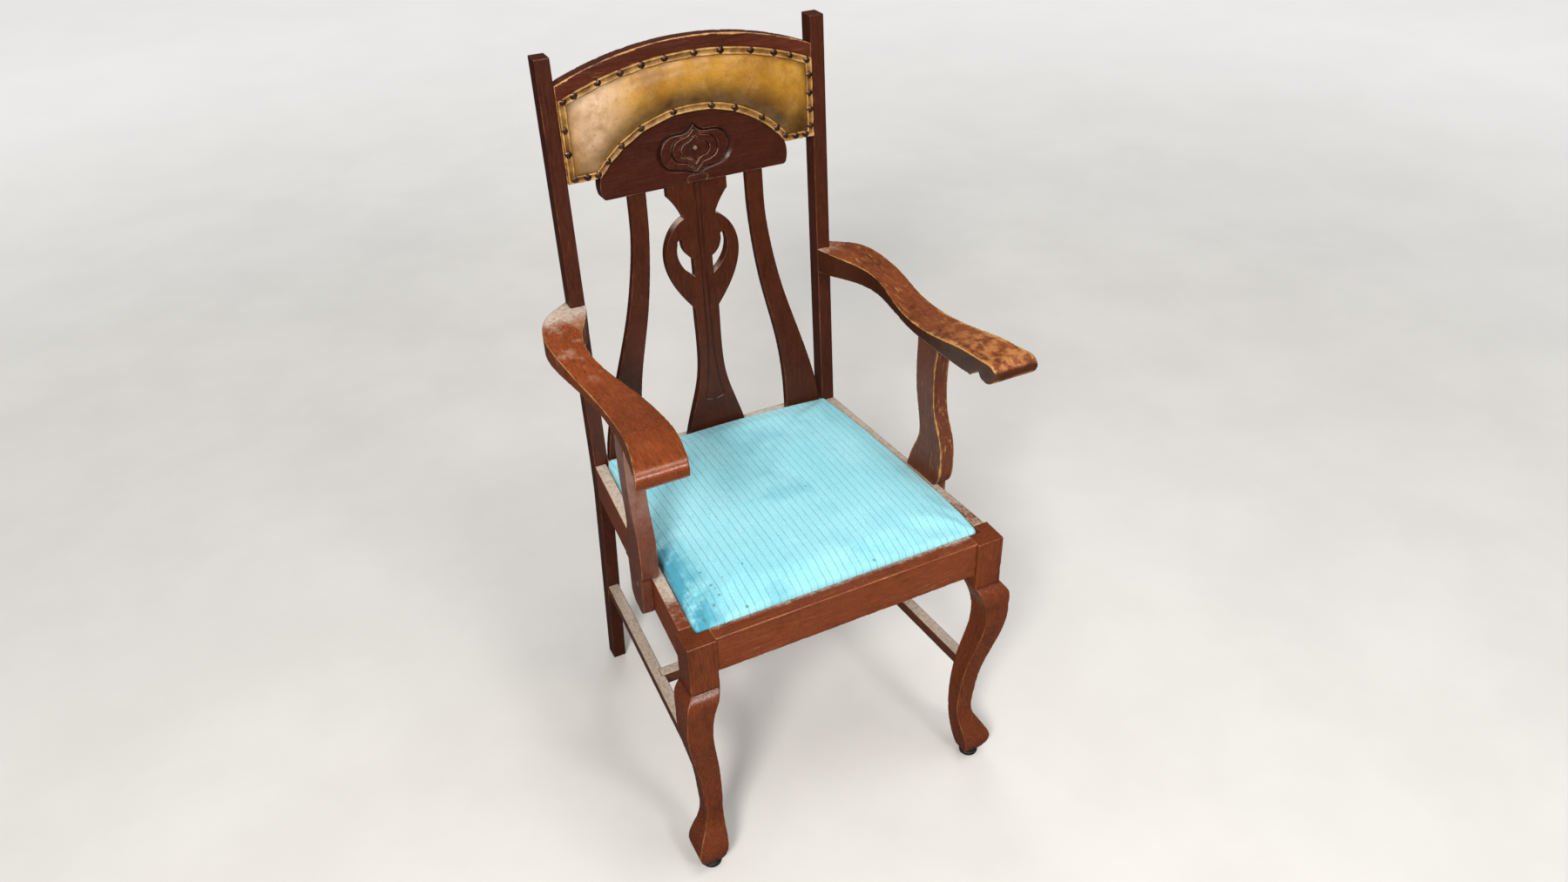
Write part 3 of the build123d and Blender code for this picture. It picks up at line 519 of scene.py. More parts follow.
carving = {
    "foot": 0.425984,  # lower edge of the tablet on the back plane
    "half": 0.063,
    "span": (0.0008, 0.093),  # from the foot
    "cut": 0.0024,  # depth of the plain solid's grooves
    "deeper": 2.1,
    "bead": (0.051, 0.0065),  # height and radius
    "petals": (0.045, 0.05, 0.029),  # height of the middle, half width and half height
    "petalFace": (-0.0012, 0.0004),
    "gouges": 26,
    "gougeDepth": 0.0009,
    "fanFrom": 0.085,
    "fanTop": 0.056,
    "fanFade": 0.01,
    "shadeAndDirt": 0.85,
    "shadeAndDirtDepth": 0.002,  # of the groove that is painted that dark, dirt with painted shade
    "gougeShadeAndDirt": 0.3,
}


def cutCarving(piece, s):
    # the flower is cut deeper, with gouge marks fanning out over its lower petals, and its grooves and gouges
    # are painted darker, dirt together with painted shade
    mesh = piece.data
    places = vertexArray(mesh)
    x, y, out = offBack(places)
    y = y - s["foot"]
    (lowest, highest), (under, over) = s["span"], s["petalFace"]
    (bead, radius), (middle, wide, tall) = s["bead"], s["petals"]
    inside = (np.abs(x) < s["half"]) & (y > lowest) & (y < highest) & (out < 0) & (out > -s["cut"])
    sunk = np.where(inside, -out, 0.0)
    petal = (np.hypot(x, y - bead) > radius) & (np.hypot(x / wide, (y - middle) / tall) < 1)
    petal &= (out > under) & (out < over)
    rays = np.cos(s["gouges"] * np.arctan2(x, s["fanFrom"] - y))
    fan = np.clip(rays - 0.1, 0, 1) * np.clip((s["fanTop"] - y) / s["fanFade"], 0, 1)
    drop = sunk * (s["deeper"] - 1) + np.where(petal, s["gougeDepth"] * fan, 0.0)
    movePoints(mesh, places - np.outer(drop, np.array(backOut)))
    shadeAndDirt = np.clip(s["shadeAndDirt"] * sunk / s["shadeAndDirtDepth"] + s["gougeShadeAndDirt"] * fan * petal, 0, 1)
    storeValue(mesh, "hollow", np.maximum(readValue(mesh, "hollow"), shadeAndDirt))


knee = {
    "bottom": 0.377,  # lower end of the leg's square block
    "half": 0.021,  # of the block
    "clear": 0.005,  # above its lower end, where the block is measured
    "swell": 0.0036,
    "rise": 0.015,
    "fade": 0.045,
}


def swellKnee(piece, s):
    # a rounded shoulder stands out in front and outside, just under the block
    places = vertexArray(piece.data)
    block = places[places[:, 2] > s["bottom"] + s["clear"]]
    outside = np.sign(block[:, 0].mean())
    edge, front = (outside * block[:, 0]).max(), block[:, 1].min()
    below = s["bottom"] - places[:, 2]
    rise = np.sin(np.clip(below / s["rise"], 0, 1) * math.pi / 2)
    shape = s["swell"] * rise * np.clip((s["fade"] - below) / (s["fade"] - s["rise"]), 0, 1) ** 1.5
    half = s["half"]
    places[:, 0] += outside * shape * np.clip((outside * places[:, 0] - edge + half) / half, 0, 1) ** 2
    places[:, 1] -= shape * np.clip((front + half - places[:, 1]) / half, 0, 1) ** 2
    movePoints(piece.data, places)


paleWood, mutedWood = srgb(212, 156, 88), srgb(146, 86, 50)
anyWood = {
    "size": 0.0016, "rounds": 2, "gloss": 0.33, "shine": 0.5, "pores": 0.55, "stain": 0.3, "scratch": 0.12,
    "specks": 0.0, "bare": srgb(186, 116, 62), "hazeScale": 34,
}
anySlat = {"tone": "back", "grain": "z", "wear": 0.07, "bare": mutedWood, "shine": 0.25}
anyPost = {"size": 0.002, "tone": "post", "grain": "z", "bare": mutedWood, "dust": 0.3, "shine": 0.3}
anyRail = {"size": 0.0019, "tone": "rail", "wear": 0.12, "specks": 1.0}
anyLeg = {
    "tone": "leg", "grain": "z", "specks": 1.0, "dust": 0.22, "gloss": 0.25, "dents": 0.0004, "pores": 0.35,
}
anyStretcher = {"size": 0.0019, "tone": "stretcher", "grain": "y", "wear": 0.1, "dust": 1.1}
woodPieces = {
    "crestRail": {
        "node": "crest_rail", "tone": "crest", "grain": "x", "wear": 0.26, "bare": paleWood, "scratch": 0.15,
        "dust": 0.3, "dents": 0.0005,
    },
    "carvedTablet": {
        "node": "carved_tablet", "size": 0.00095, "rounds": 1, "tone": "tablet", "grain": "x", "wear": 0.09,
        "bare": srgb(168, 120, 90), "scratch": 0.04, "shine": 0.35,
    },
    "centreSplat": {
        "node": "centre_splat", **anySlat, "size": 0.001, "rounds": 1, "wear": 0.06, "dust": 1.1,
    },
    "sideSlatLeft": {"node": "side_slat_left", **anySlat},
    "sideSlatRight": {"node": "side_slat_right", **anySlat},
    "backPostLeft": {"node": "back_post_left", **anyPost, "wear": 0.07},
    "backPostRight": {"node": "back_post_right", **anyPost, "wear": 0.08},
    "armLeft": {
        "node": "arm_left", "tone": "arm", "grain": "y", "gloss": 0.24, "pores": 0.75, "wear": 0.16,
        "paintedSideShade": 0.4, "bare": paleWood, "dust": 0.22, "dustAlong": (0.11, 0.225, 0.86), "scratch": 0.2,
        "dents": 0.0004, "stain": 0.35, "haze": 0.0, "hazeAlong": (-0.03, 0.1, 0.55),
        "hazeClumps": (0.5, 0.68), "hazeTint": srgb(196, 158, 132),
    },
    "armRight": {
        "node": "arm_right", "tone": "wornArm", "grain": "y", "gloss": 0.32, "pores": 0.75, "wear": 0.24,
        "paintedSideShade": 0.93, "bare": paleWood, "wearAlong": (0.02, -0.16, 1.4), "dust": 0.2,
        "dustAlong": (0.12, 0.22, 0.55), "stain": 0.9, "scratch": 0.55, "scratchAlong": (0.02, -0.12, 1.0),
        "dents": 0.0005, "haze": 0.0, "hazeAlong": (-0.02, -0.22, 0.75), "hazeClumps": (0.42, 0.62),
        "hazeScale": 62, "hazeTint": srgb(192, 128, 74),
    },
    "armSupportLeft": {
        "node": "arm_support_left", "tone": "support", "grain": "z", "wear": 0.1, "dust": 0.4, "haze": 0.03,
        "hazeRise": (0.53, 0.62, 0.42), "hazeClumps": (0.25, 0.6), "hazeTint": srgb(168, 138, 128),
    },
    "armSupportRight": {
        "node": "arm_support_right", "tone": "support", "grain": "z", "wear": 0.3, "dust": 0.4,
        "bare": paleWood, "dents": 0.0004, "shine": 0.2, "scratch": 0.5,
    },
    "frontRail": {
        "node": "front_seat_rail", **anyRail, "grain": "x", "dust": 0.4, "dustAlong": (-0.241, -0.23, 0.58),
        "scratch": 0.35, "dents": 0.0004,
    },
    "sideRailLeft": {
        "node": "side_seat_rail_left", **anyRail, "grain": "y", "dust": 0.5, "dustAlong": (-0.17, -0.1, 1.3),
    },
    "sideRailRight": {
        "node": "side_seat_rail_right", **anyRail, "grain": "y", "dust": 0.55,
        "dustAlong": (-0.2, -0.05, 1.0),
    },
    "backRail": {
        "node": "back_seat_rail", "size": 0.002, "tone": "rail", "grain": "x", "wear": 0.1, "dust": 0.95,
    },
    "frontLegLeft": {"node": "front_leg_left", **anyLeg, "wear": 0.06, "dustRise": (0.1, 0.05, 0.75)},
    "frontLegRight": {"node": "front_leg_right", **anyLeg, "wear": 0.07, "dustRise": (0.1, 0.05, 0.7)},
    "sideStretcherLeft": {"node": "side_stretcher_left", **anyStretcher, "dust": 1.2},
    "sideStretcherRight": {"node": "side_stretcher_right", **anyStretcher},
    "crossStretcher": {"node": "cross_stretcher", **anyStretcher, "grain": "x"},
}
coarser = 1.0
for number, (pieceName, own) in enumerate(woodPieces.items()):
    s = {**anyWood, "shift": 1.7 * number, **own}  # no two boards have the same grain
    piece = softened(pieceName, s["node"], s["size"] * coarser, s["rounds"])
    if "dents" in s:
        dent(piece, s["dents"])
    if s["node"] == "carved_tablet":
        cutCarving(piece, carving)
    if s["node"].startswith("front_leg"):
        swellKnee(piece, knee)
    dress(piece, "chair_frame", "stained_wood", s["node"], finish=woodFinish(pieceName + "Wood", s))
print("wooden pieces softened and stained")


# plain joinery inside the seat
plainWood = {"deep": srgb(150, 112, 72), "light": srgb(198, 162, 116), "handled": srgb(112, 82, 54)}


def plainFinish(name, grain, shift):
    made, coords = newMaterial(name)
    vector = alongGrain(coords, grain, (shift, shift, shift))[1]
    figure = {"Deep": plainWood["deep"], "Light": plainWood["light"], "Pores": 0.35}
    planed = vector.through(woodGrain, figure)
    wear = {"Color": planed["Color"], "Tint": plainWood["handled"], "Edge": coords.attribute("edge")}
    aged = vector.through(edgeWear, {**wear, "Amount": 0.12})
    rough = planed["Streak"].spread(0.3, 0.7, 0.62, 0.8)
    return surface(made, aged["Color"], rough, planed["Height"], (0.3, 0.0006))


plainSize = 0.0025
plainPieces = {
    "backBearer": ("back_seat_bearer", "x", "chair_frame"),
    "cornerBlockFrontLeft": ("front_corner_block_left", "x", "chair_frame"),
    "cornerBlockFrontRight": ("front_corner_block_right", "x", "chair_frame"),
    "cornerBlockBackLeft": ("back_corner_block_left", "x", "chair_frame"),
    "cornerBlockBackRight": ("back_corner_block_right", "x", "chair_frame"),
    "seatFrameFront": ("seat_frame_front", "x", "drop_in_seat"),
    "seatFrameBack": ("seat_frame_back", "x", "drop_in_seat"),
    "seatFrameLeft": ("seat_frame_left", "y", "drop_in_seat"),
    "seatFrameRight": ("seat_frame_right", "y", "drop_in_seat"),
}
for number, (pieceName, (node, grain, body)) in enumerate(plainPieces.items()):
    piece = softened(pieceName, node, plainSize * coarser)
    dress(piece, body, "plain_wood", node, finish=plainFinish(pieceName + "Wood", grain, 0.9 * number))
print("plain joinery ready")


# small metal pieces are set on points read from the frame
def islands(node):
    # the points of each separate solid
    build = merged(cadNodes[node].data, 1e-5)
    seen, found = set(), []
    for vert in build.verts:
        if vert in seen:
            continue
        stack, group = [vert], []
        seen.add(vert)
        while stack:
            here = stack.pop()
            group.append(here.co.copy())
            for edge in here.link_edges:
                other = edge.other_vert(here)
                if other not in seen:
                    seen.add(other)
                    stack.append(other)
        found.append(np.array(group))
    build.free()
    return found


def headPlace(points, facing):
    # the middle of the outermost face along facing
    way = np.array(facing)
    middle = (points.max(0) + points.min(0)) / 2
    return Vector(middle + way * ((points @ way).max() - middle @ way))


nailSpots = [headPlace(points, backOut) - backPlane["start"] for points in islands("headrest_nails")]


def nearNail(x, y, reach):
    # 1 at a nail, fading to 0 away from it
    gap = np.min([np.hypot(x - spot.x, y - spot.dot(backUp)) for spot in nailSpots], axis=0)
    return np.exp(-((gap / reach) ** 2))


headrest = {
    "side": 0.192,
    "crestRadius": 0.509117,
    "crestTop": 0.633284,
    "margin": 0.0185,
    "archRadius": 0.1834,
    "archTop": 0.530284,
    "wing": 0.459984,
    "border": 0.0106,
    "lap": 0.0012,  # how far the pad goes under the border, and its height there
    "padRise": 0.0135,
    "upFull": (2.3, 0.62),  # powers of the pad's roundness, up and across
    "sideFull": (9, 0.6),
    "held": 0.004,  # below this height the leather doesn't swell
    "pressure": 3.0,
    "swell": 0.0022,
    "tug": 0.0035,  # how far a nail pulls the leather down
    "tugReach": 0.017,
    "tugFrom": 0.0015,  # height where the pull begins, and over which it grows
    "tugOver": 0.006,
    "rim": 0.011,  # the height of the rim that is painted darker, painted shade with soil
    "columns": 150,
    "rows": 44,
    "steps": (70, 22, 10),  # points of the outline along an arc, a side and a wing
}


def headTop(x, inset):
    h = headrest
    return h["crestTop"] - h["crestRadius"] + math.sqrt((h["crestRadius"] - h["margin"] - inset) ** 2 - x * x)


def headBottom(x, inset):
    h = headrest
    arch = h["archTop"] - h["archRadius"] + math.sqrt(max(0.0, (h["archRadius"] + inset) ** 2 - x * x))
    return max(arch, h["wing"] + inset)


def headOutline(inset):
    # one closed round, with the same number of points at every inset
    h = headrest
    onArc, onSide, onWing = h["steps"]
    side, wing, radius = h["side"] - inset, h["wing"] + inset, h["archRadius"] + inset
    centre = h["archTop"] - h["archRadius"]
    wingEnd = math.sqrt(radius**2 - (wing - centre) ** 2)
    top, turn = headTop(side, inset), math.asin(wingEnd / radius)
    across = [side * (2 * i / onArc - 1) for i in range(onArc)]
    turns = [turn * (1 - 2 * i / onArc) for i in range(onArc)]
    points = [(x, headTop(x, inset)) for x in across]
    points += [(side, top + (wing - top) * i / onSide) for i in range(onSide)]
    points += [(side + (wingEnd - side) * i / onWing, wing) for i in range(onWing)]
    points += [(radius * math.sin(a), centre + radius * math.cos(a)) for a in turns]
    points += [(-wingEnd - (side - wingEnd) * i / onWing, wing) for i in range(onWing)]
    points += [(-side, wing + (top - wing) * i / onSide) for i in range(onSide)]
    return points


clothGive = {"quality": 6, "mass": 0.25, "stiffness": 25, "bending": 2.0, "frames": 20}


def puffed(piece, held, pressure, cap):
    # swells the free part of a sewn piece with a short cloth simulation, and caps how far it moves
    start = vertexArray(piece.data)
    piece.vertex_groups.new(name="held").add([int(i) for i in held], 1.0, "REPLACE")
    cloth = piece.modifiers.new("swell", "CLOTH")
    give = cloth.settings
    give.vertex_group_mass = "held"
    give.quality, give.mass = clothGive["quality"], clothGive["mass"]
    give.use_pressure, give.uniform_pressure_force = True, pressure
    give.effector_weights.gravity = 0.0
    give.tension_stiffness = give.compression_stiffness = clothGive["stiffness"]
    give.bending_stiffness = clothGive["bending"]
    cloth.collision_settings.use_collision = False
    cloth.point_cache.frame_start, cloth.point_cache.frame_end = 1, clothGive["frames"]
    for step in range(1, clothGive["frames"] + 1):
        scene.frame_set(step)
    settleModifiers(piece)
    scene.frame_set(1)
    moved = vertexArray(piece.data) - start
    far = np.linalg.norm(moved, axis=1, keepdims=True)
    moved *= np.minimum(1.0, cap / np.maximum(far, 1e-9))
    piece.vertex_groups.clear()
    movePoints(piece.data, start + moved)
    return moved


def makeHeadrestPad(h):
    columns, rows, lap = h["columns"], h["rows"], h["lap"]
    (upPower, upRoot), (sidePower, sideRoot) = h["upFull"], h["sideFull"]
    inset = h["border"] - lap
    top, under = [], []
    for r in range(rows):
        t = 0.5 - 0.5 * math.cos(math.pi * r / (rows - 1))
        for c in range(columns):
            s = math.sin((2 * c / (columns - 1) - 1) * math.pi / 2)
            x = s * (h["side"] - inset)
            low, high = headBottom(x, inset), headTop(x, inset)
            y = low + (high - low) * t
            full = max(0.0, 1 - abs(2 * t - 1) ** upPower) ** upRoot
            full *= max(0.0, 1 - abs(s) ** sidePower) ** sideRoot
            top.append(onBack(x, y, lap + h["padRise"] * full))
            under.append(onBack(x, y, lap if full == 0 else lap / 2))
    faces = gridFaces(rows, columns)
    mesh = meshFrom("headrestLeather", top + under, faces + turnedOver(faces, len(top)))
    piece = newPiece("headrestLeather", mesh)
    out = offBack(vertexArray(mesh))[2]
    puffed(piece, np.flatnonzero(out < h["held"]), h["pressure"], h["swell"])
    mesh = piece.data
    places = vertexArray(mesh)
    x, y, out = offBack(places)
    free = np.clip((out - h["tugFrom"]) / h["tugOver"], 0, 1)
    tug = nearNail(x, y, h["tugReach"]) * (h["tug"] * free)
    movePoints(mesh, places - np.outer(tug, np.array(backOut)))
    x, y, out = offBack(vertexArray(mesh))
    low, high = (np.array([edge(v, inset) for v in x]) for edge in (headBottom, headTop))
    storeValue(mesh, "rim", np.clip(1 - (out - lap) / h["rim"], 0, 1))
    storeValue(mesh, "low", np.clip((high - y) / (high - low), 0, 1))
    mesh.shade_smooth()
    return piece


def cellDistance(coords, scale, **settings):
    return coords.into("ShaderNodeTexVoronoi", {"Vector": coords, "Scale": scale}, "Distance", **settings)


leather = {
    "hide": (srgb(144, 97, 22), srgb(177, 128, 42)),
    "pale": srgb(206, 162, 88),
    # the pale colour of a painted highlight on the left end of the pad
    "rubbed": srgb(218, 192, 166),
    "shadeAndSoil": srgb(52, 30, 7),
    "brown": srgb(118, 74, 20),
    "mottle": srgb(112, 70, 18),
    "speck": srgb(96, 56, 18),
    "crack": srgb(92, 54, 18),
}


def headrestFinish(s):
    made, coords = newMaterial("ochreLeather")
    x = coords.parts()[0]
    low, rim = coords.attribute("low"), coords.attribute("rim")
    blotch = coords.noise(14, 5, 0.6)
    cloudy = (coords + (3.1, 1.7, 0.4)).noise(40, 5, 0.65)
    brown = (coords + (1.3, 0.2, 2.4)).noise(22, 7, 0.72)
    # painted highlight: a pale glare painted on the left end of the pad
    leftHighlight = x.spread(-0.07, -0.15) * x.spread(-0.188, -0.16, 0.3, 1.0)
    leftHighlight = leftHighlight * low.spread(0.95, 0.55, 0.35, 1.0) * blotch.spread(0.25, 0.6, 0.5, 1.0)
    # painted shade with soil: the lower part, more so away from the left end, and the rim next to the border
    # are painted darker, as shade falls there and hands and hair have soiled it
    shadedAndSoiled = low.spread(0.38, 0.88) * x.spread(-0.16, -0.05, 0.3, 1.0)
    shadedAndSoiled = shadedAndSoiled.math("MAXIMUM", rim.spread(0.5, 1.0) * 0.85)
    shadedAndSoiled = (shadedAndSoiled * cloudy.spread(0.25, 0.65, 1.0, 0.7)).clamped()
    warp = coords.into("ShaderNodeTexNoise", {"Vector": coords, "Scale": 40.0, "Detail": 3.0}, 1)
    cells = cellDistance(coords + warp * (0.03, 0.03, 0.03), 120.0, feature="DISTANCE_TO_EDGE")
    crack = cells.spread(0.05, 0.0) * cloudy.spread(0.5, 0.66)
    hide = layered(
        blotch.spread(0.35, 0.65).between(*s["hide"]),
        (cloudy.spread(0.48, 0.75) * 0.35, s["pale"]),
        (leftHighlight * 0.56, s["rubbed"]),
        (shadedAndSoiled * 0.95, s["shadeAndSoil"]),
        (brown.spread(0.44, 0.66, 0.0, 0.5), s["brown"]),
        (coords.noise(130, 4, 0.7).spread(0.5, 0.72) * 0.35, s["mottle"]),
        (coords.noise(520, 2, 0.6).spread(0.6, 0.75) * 0.45, s["speck"]),
        (crack * 0.25, s["crack"]),
    )
    height = cellDistance(coords, 780.0) * 0.35 - crack
    return surface(made, hide, cloudy.spread(0.3, 0.7, 0.3, 0.46), height, (0.25, 0.0007))


pad = makeHeadrestPad(headrest)
padNodes = ("headrest_leather", "headrest_stuffing")
dress(pad, "chair_frame", "headrest_leather", *padNodes, finish=headrestFinish(leather))
print("headrest padded")

# the border is a flat strip with a rolled edge on both sides: (inset, height) round its section
borderSection = [
    (0.0, 0.0002), (0.0, 0.0019), (0.0004, 0.003), (0.0013, 0.0036), (0.0022, 0.0031),
    (0.0029, 0.0021), (0.0042, 0.0017), (0.0053, 0.0016), (0.0064, 0.0017), (0.0077, 0.0021),
    (0.0084, 0.0031), (0.0093, 0.0036), (0.0102, 0.003), (0.0106, 0.0019), (0.0106, 0.0002),
]
borderLook = {
    "middle": 0.0053,
    "pinch": 0.0095,  # how far a nail's pinch reaches
    "swell": 1.75,
    "press": 0.85,
    "draw": 0.1,
    "ripple": 0.12,
    "channel": (0.0017, 0.0014),  # height below which the channel and low edges are painted darker, shade with soil, and over which it fades
    "hide": (srgb(142, 94, 30), srgb(204, 158, 90)),
    "shadeAndSoil": srgb(72, 44, 15),
}


def makeBorder(s):
    places, midLine = [], headOutline(s["middle"])
    count = len(midLine)
    for inset, height in borderSection:
        for i, (x, y) in enumerate(headOutline(inset)):
            pinch = float(nearNail(x, y, s["pinch"]))
            ripple = s["ripple"] * math.sin(i * 0.9 + 40 * inset) * math.sin(i * 0.23)
            wave = s["swell"] - s["press"] * pinch + ripple
            draw = s["draw"] * pinch
            x, y = x + (midLine[i][0] - x) * draw, y + (midLine[i][1] - y) * draw
            places.append(onBack(x, y, height * wave))
    rounds = [list(range(k * count, (k + 1) * count)) for k in range(len(borderSection))]
    faces = gridFaces(len(rounds), count, closed=True)
    faces += [(a, b, d, c) for a, c, d, b in bandFaces(rounds[-1], rounds[0])]
    mesh = meshFrom("headrestBorder", places, faces)
    level, fade = s["channel"]
    heights = np.array([height for _, height in borderSection])
    storeValue(mesh, "rim", np.repeat(np.clip(1 - (heights - level) / fade, 0, 1), count))
    return newPiece("headrestBorder", mesh)


def borderFinish(s):
    made, coords = newMaterial("borderLeather")
    rub = coords.noise(42, 5, 0.65)
    # painted shade with soil: the channel and the low edges of the border are painted darker
    shadedAndSoiled = coords.attribute("rim").spread(0.1, 1.0) * rub.spread(0.3, 0.7, 0.85, 0.5)
    hide = shadedAndSoiled.between(rub.spread(0.36, 0.7).between(*s["hide"]), s["shadeAndSoil"])
    return surface(made, hide, rub.spread(0.3, 0.7, 0.5, 0.36), cellDistance(coords, 900.0), (0.25, 0.0004))


border = makeBorder(borderLook)
dress(border, "chair_frame", "headrest_leather", "headrest_border", finish=borderFinish(borderLook))
print("border laid")


def screwFacing(points):
    # along the shank, towards the wider end
    centred = points - points.mean(0)
    axis = np.linalg.svd(centred, full_matrices=False)[2][0]
    along = centred @ axis
    away = np.linalg.norm(centred - np.outer(along, axis), axis=1)
    wide = along[away > 0.75 * away.max()].mean()
    return Vector(axis * np.sign(wide - (along.max() + along.min()) / 2))


def lathe(name, profile, segments):
    # turns (radius, height) points about Z, closing both poles
    turns = [2 * math.pi * k / segments for k in range(segments)]
    places = [(r * math.cos(a), r * math.sin(a), height) for r, height in profile for a in turns]
    return meshFrom(name, places, gridFaces(len(profile), segments, closed=True))


def makeSetOnPoints():
    tree = bpy.data.node_groups.new("setOnPoints", "GeometryNodeTree")
    sockets = {"Points": "Geometry", "Shape": "Object", "Finish": "Material"}
    sockets |= {"Uneven": "Float", "Tilt": "Float", "Seed": "Int"}
    for label, kind in sockets.items():
        tree.interface.new_socket(label, in_out="INPUT", socket_type="NodeSocket" + kind)
    tree.interface.new_socket("Result", in_out="OUTPUT", socket_type="NodeSocketGeometry")
    given = signals(addNode(tree, "NodeGroupInput"))
    points, seed, uneven, tilt = (given[label] for label in ("Points", "Seed", "Uneven", "Tilt"))
    halfTurn = 3.1  # pieces are spun this far either way about their own axis
    facing = points.into("GeometryNodeInputNamedAttribute", {"Name": "facing"}, data_type="FLOAT_VECTOR")
    turn = facing.into("FunctionNodeAlignRotationToVector", {"Vector": facing}, axis="Z")
    most = tilt.into("ShaderNodeCombineXYZ", {0: tilt, 1: tilt, 2: halfTurn})
    leans = {"Min": most * (-1, -1, -1), "Max": most, "Seed": seed}
    lean = seed.into("FunctionNodeRandomValue", leans, data_type="FLOAT_VECTOR")
    spun = turn.into("FunctionNodeRotateRotation", {0: turn, 1: lean}, rotation_space="LOCAL")
    sizes = {2: 1.0 - uneven, 3: uneven + 1.0, "Seed": seed}
    size = seed.into("FunctionNodeRandomValue", sizes, 1, data_type="FLOAT")
    shape = points.into("GeometryNodeObjectInfo", {"Object": given["Shape"]}, "Geometry")
    placing = {"Points": points, "Instance": shape, "Rotation": spun, "Scale": size}
    placed = points.into("GeometryNodeInstanceOnPoints", placing)
    real = placed.into("GeometryNodeRealizeInstances", {0: placed})
    done = real.into("GeometryNodeSetMaterial", {"Geometry": real, "Material": given["Finish"]})
    addNode(tree, "NodeGroupOutput", {0: done})
    return tree


setOnPoints = makeSetOnPoints()


def setPieces(name, shapeMesh, places, finish, uneven=0.0, tilt=0.0, seed=1):
    points = bpy.data.meshes.new(name)
    points.from_pydata([tuple(p) for p, _ in places], [], [])
    facing = points.attributes.new("facing", "FLOAT_VECTOR", "POINT")
    facing.data.foreach_set("vector", [v for _, f in places for v in f])
    piece, shape = newPiece(name, points), newPiece(name + "Shape", shapeMesh)
    modifier = piece.modifiers.new("set", "NODES")
    modifier.node_group = setOnPoints
    values = {"Shape": shape, "Finish": finish, "Uneven": uneven, "Tilt": tilt, "Seed": seed}
    for item in setOnPoints.interface.items_tree:
        if item.in_out == "INPUT" and item.name in values:
            modifier[item.identifier] = values[item.name]
    settleModifiers(piece)
    bpy.data.objects.remove(shape)
    piece.data.shade_smooth()
    return piece


def metalFinish(name, dark, bright, rough, tarnish, metallic=1.0):
    made, coords = newMaterial(name)
    stain = coords.noise(180, 4, 0.6)
    colour = stain.spread(0.35, 0.7).between(dark, bright)
    dulled = stain.spread(0.3, 0.7, rough + tarnish, rough)
    return surface(made, colour, dulled, stain, (0.15, 0.0003), {"Metallic": metallic})


nailShape = {
    "radius": 0.0053, "dome": 0.0037, "lip": 0.0005, "base": 0.0016, "shank": (0.0012, 0.001), "steps": 8,
    "segments": 22,
}


def nailMesh(s):
    shank, length = s["shank"]
    profile = [(0.0, -length), (shank, -length), (shank, 0.0), (s["radius"], 0.0), (s["radius"], s["lip"])]
    for k in range(1, s["steps"] + 1):
        a = math.pi / 2 * k / s["steps"]
        profile.append((s["radius"] * math.cos(a), s["lip"] + (s["dome"] - s["lip"]) * math.sin(a)))
    return lathe("nailHead", profile, s["segments"])


bronzeTints = (srgb(50, 30, 25), srgb(118, 84, 70))
bronze = metalFinish("darkBronze", *bronzeTints, rough=0.28, tarnish=0.18, metallic=0.8)
nailPlaces = [(onBack(spot.x, spot.dot(backUp), nailShape["base"]), backOut) for spot in nailSpots]
nails = setPieces("headrestNails", nailMesh(nailShape), nailPlaces, bronze, uneven=0.05, tilt=0.09, seed=4)
dress(nails, "chair_frame", "nail_bronze", "headrest_nails")

screwShape = {
    "radius": 0.0039, "depth": 0.0022, "shank": 0.0018, "crown": 0.0005, "slot": 0.0011, "slotDepth": 0.0009,
    "slotLength": 0.02, "segments": 28,
}
screwPieces = {"supportScrews": "support_screws", "armScrews": "arm_screws", "cornerScrews": "corner_screws"}


def screwMesh(s):
    radius, depth, crown = s["radius"], s["depth"], s["crown"]
    profile = [(0.0, -depth), (s["shank"], -depth), (radius - 0.0003, -0.0004), (radius, -0.0001)]
    profile += [(radius - 0.0004, 0.0002), (radius * 0.5, 0.00045), (0.0, crown)]
    head = newPiece("slottedHead", lathe("slottedHead", profile, s["segments"]))
    cutter = newPiece("slotCutter", bpy.data.meshes.new("slotCutter"))
    build = bmesh.new()
    bmesh.ops.create_cube(build, size=1.0)
    bmesh.ops.scale(build, vec=(s["slotLength"], s["slot"], 2 * s["slotDepth"]), verts=build.verts)
    bmesh.ops.translate(build, vec=(0, 0, crown), verts=build.verts)
    build.to_mesh(cutter.data)
    build.free()
    cut = head.modifiers.new("slot", "BOOLEAN")
    cut.object, cut.operation, cut.solver = cutter, "DIFFERENCE", "EXACT"
    mesh = evaluatedMesh(head)
    bpy.data.objects.remove(head)
    bpy.data.objects.remove(cutter)
    return mesh


steelTints = (srgb(96, 86, 78), srgb(178, 168, 158))
steel = metalFinish("dullSteel", *steelTints, rough=0.35, tarnish=0.2, metallic=0.45)
for pieceName, node in screwPieces.items():
    solids = [(points, screwFacing(points)) for points in islands(node)]
    places = [(headPlace(points, facing), facing) for points, facing in solids]
    screws = setPieces(pieceName, screwMesh(screwShape), places, steel, tilt=0.02, seed=7)
    screws.data.set_sharp_from_angle(angle=math.radians(40))
    dress(screws, "chair_frame", "screw_steel", node)

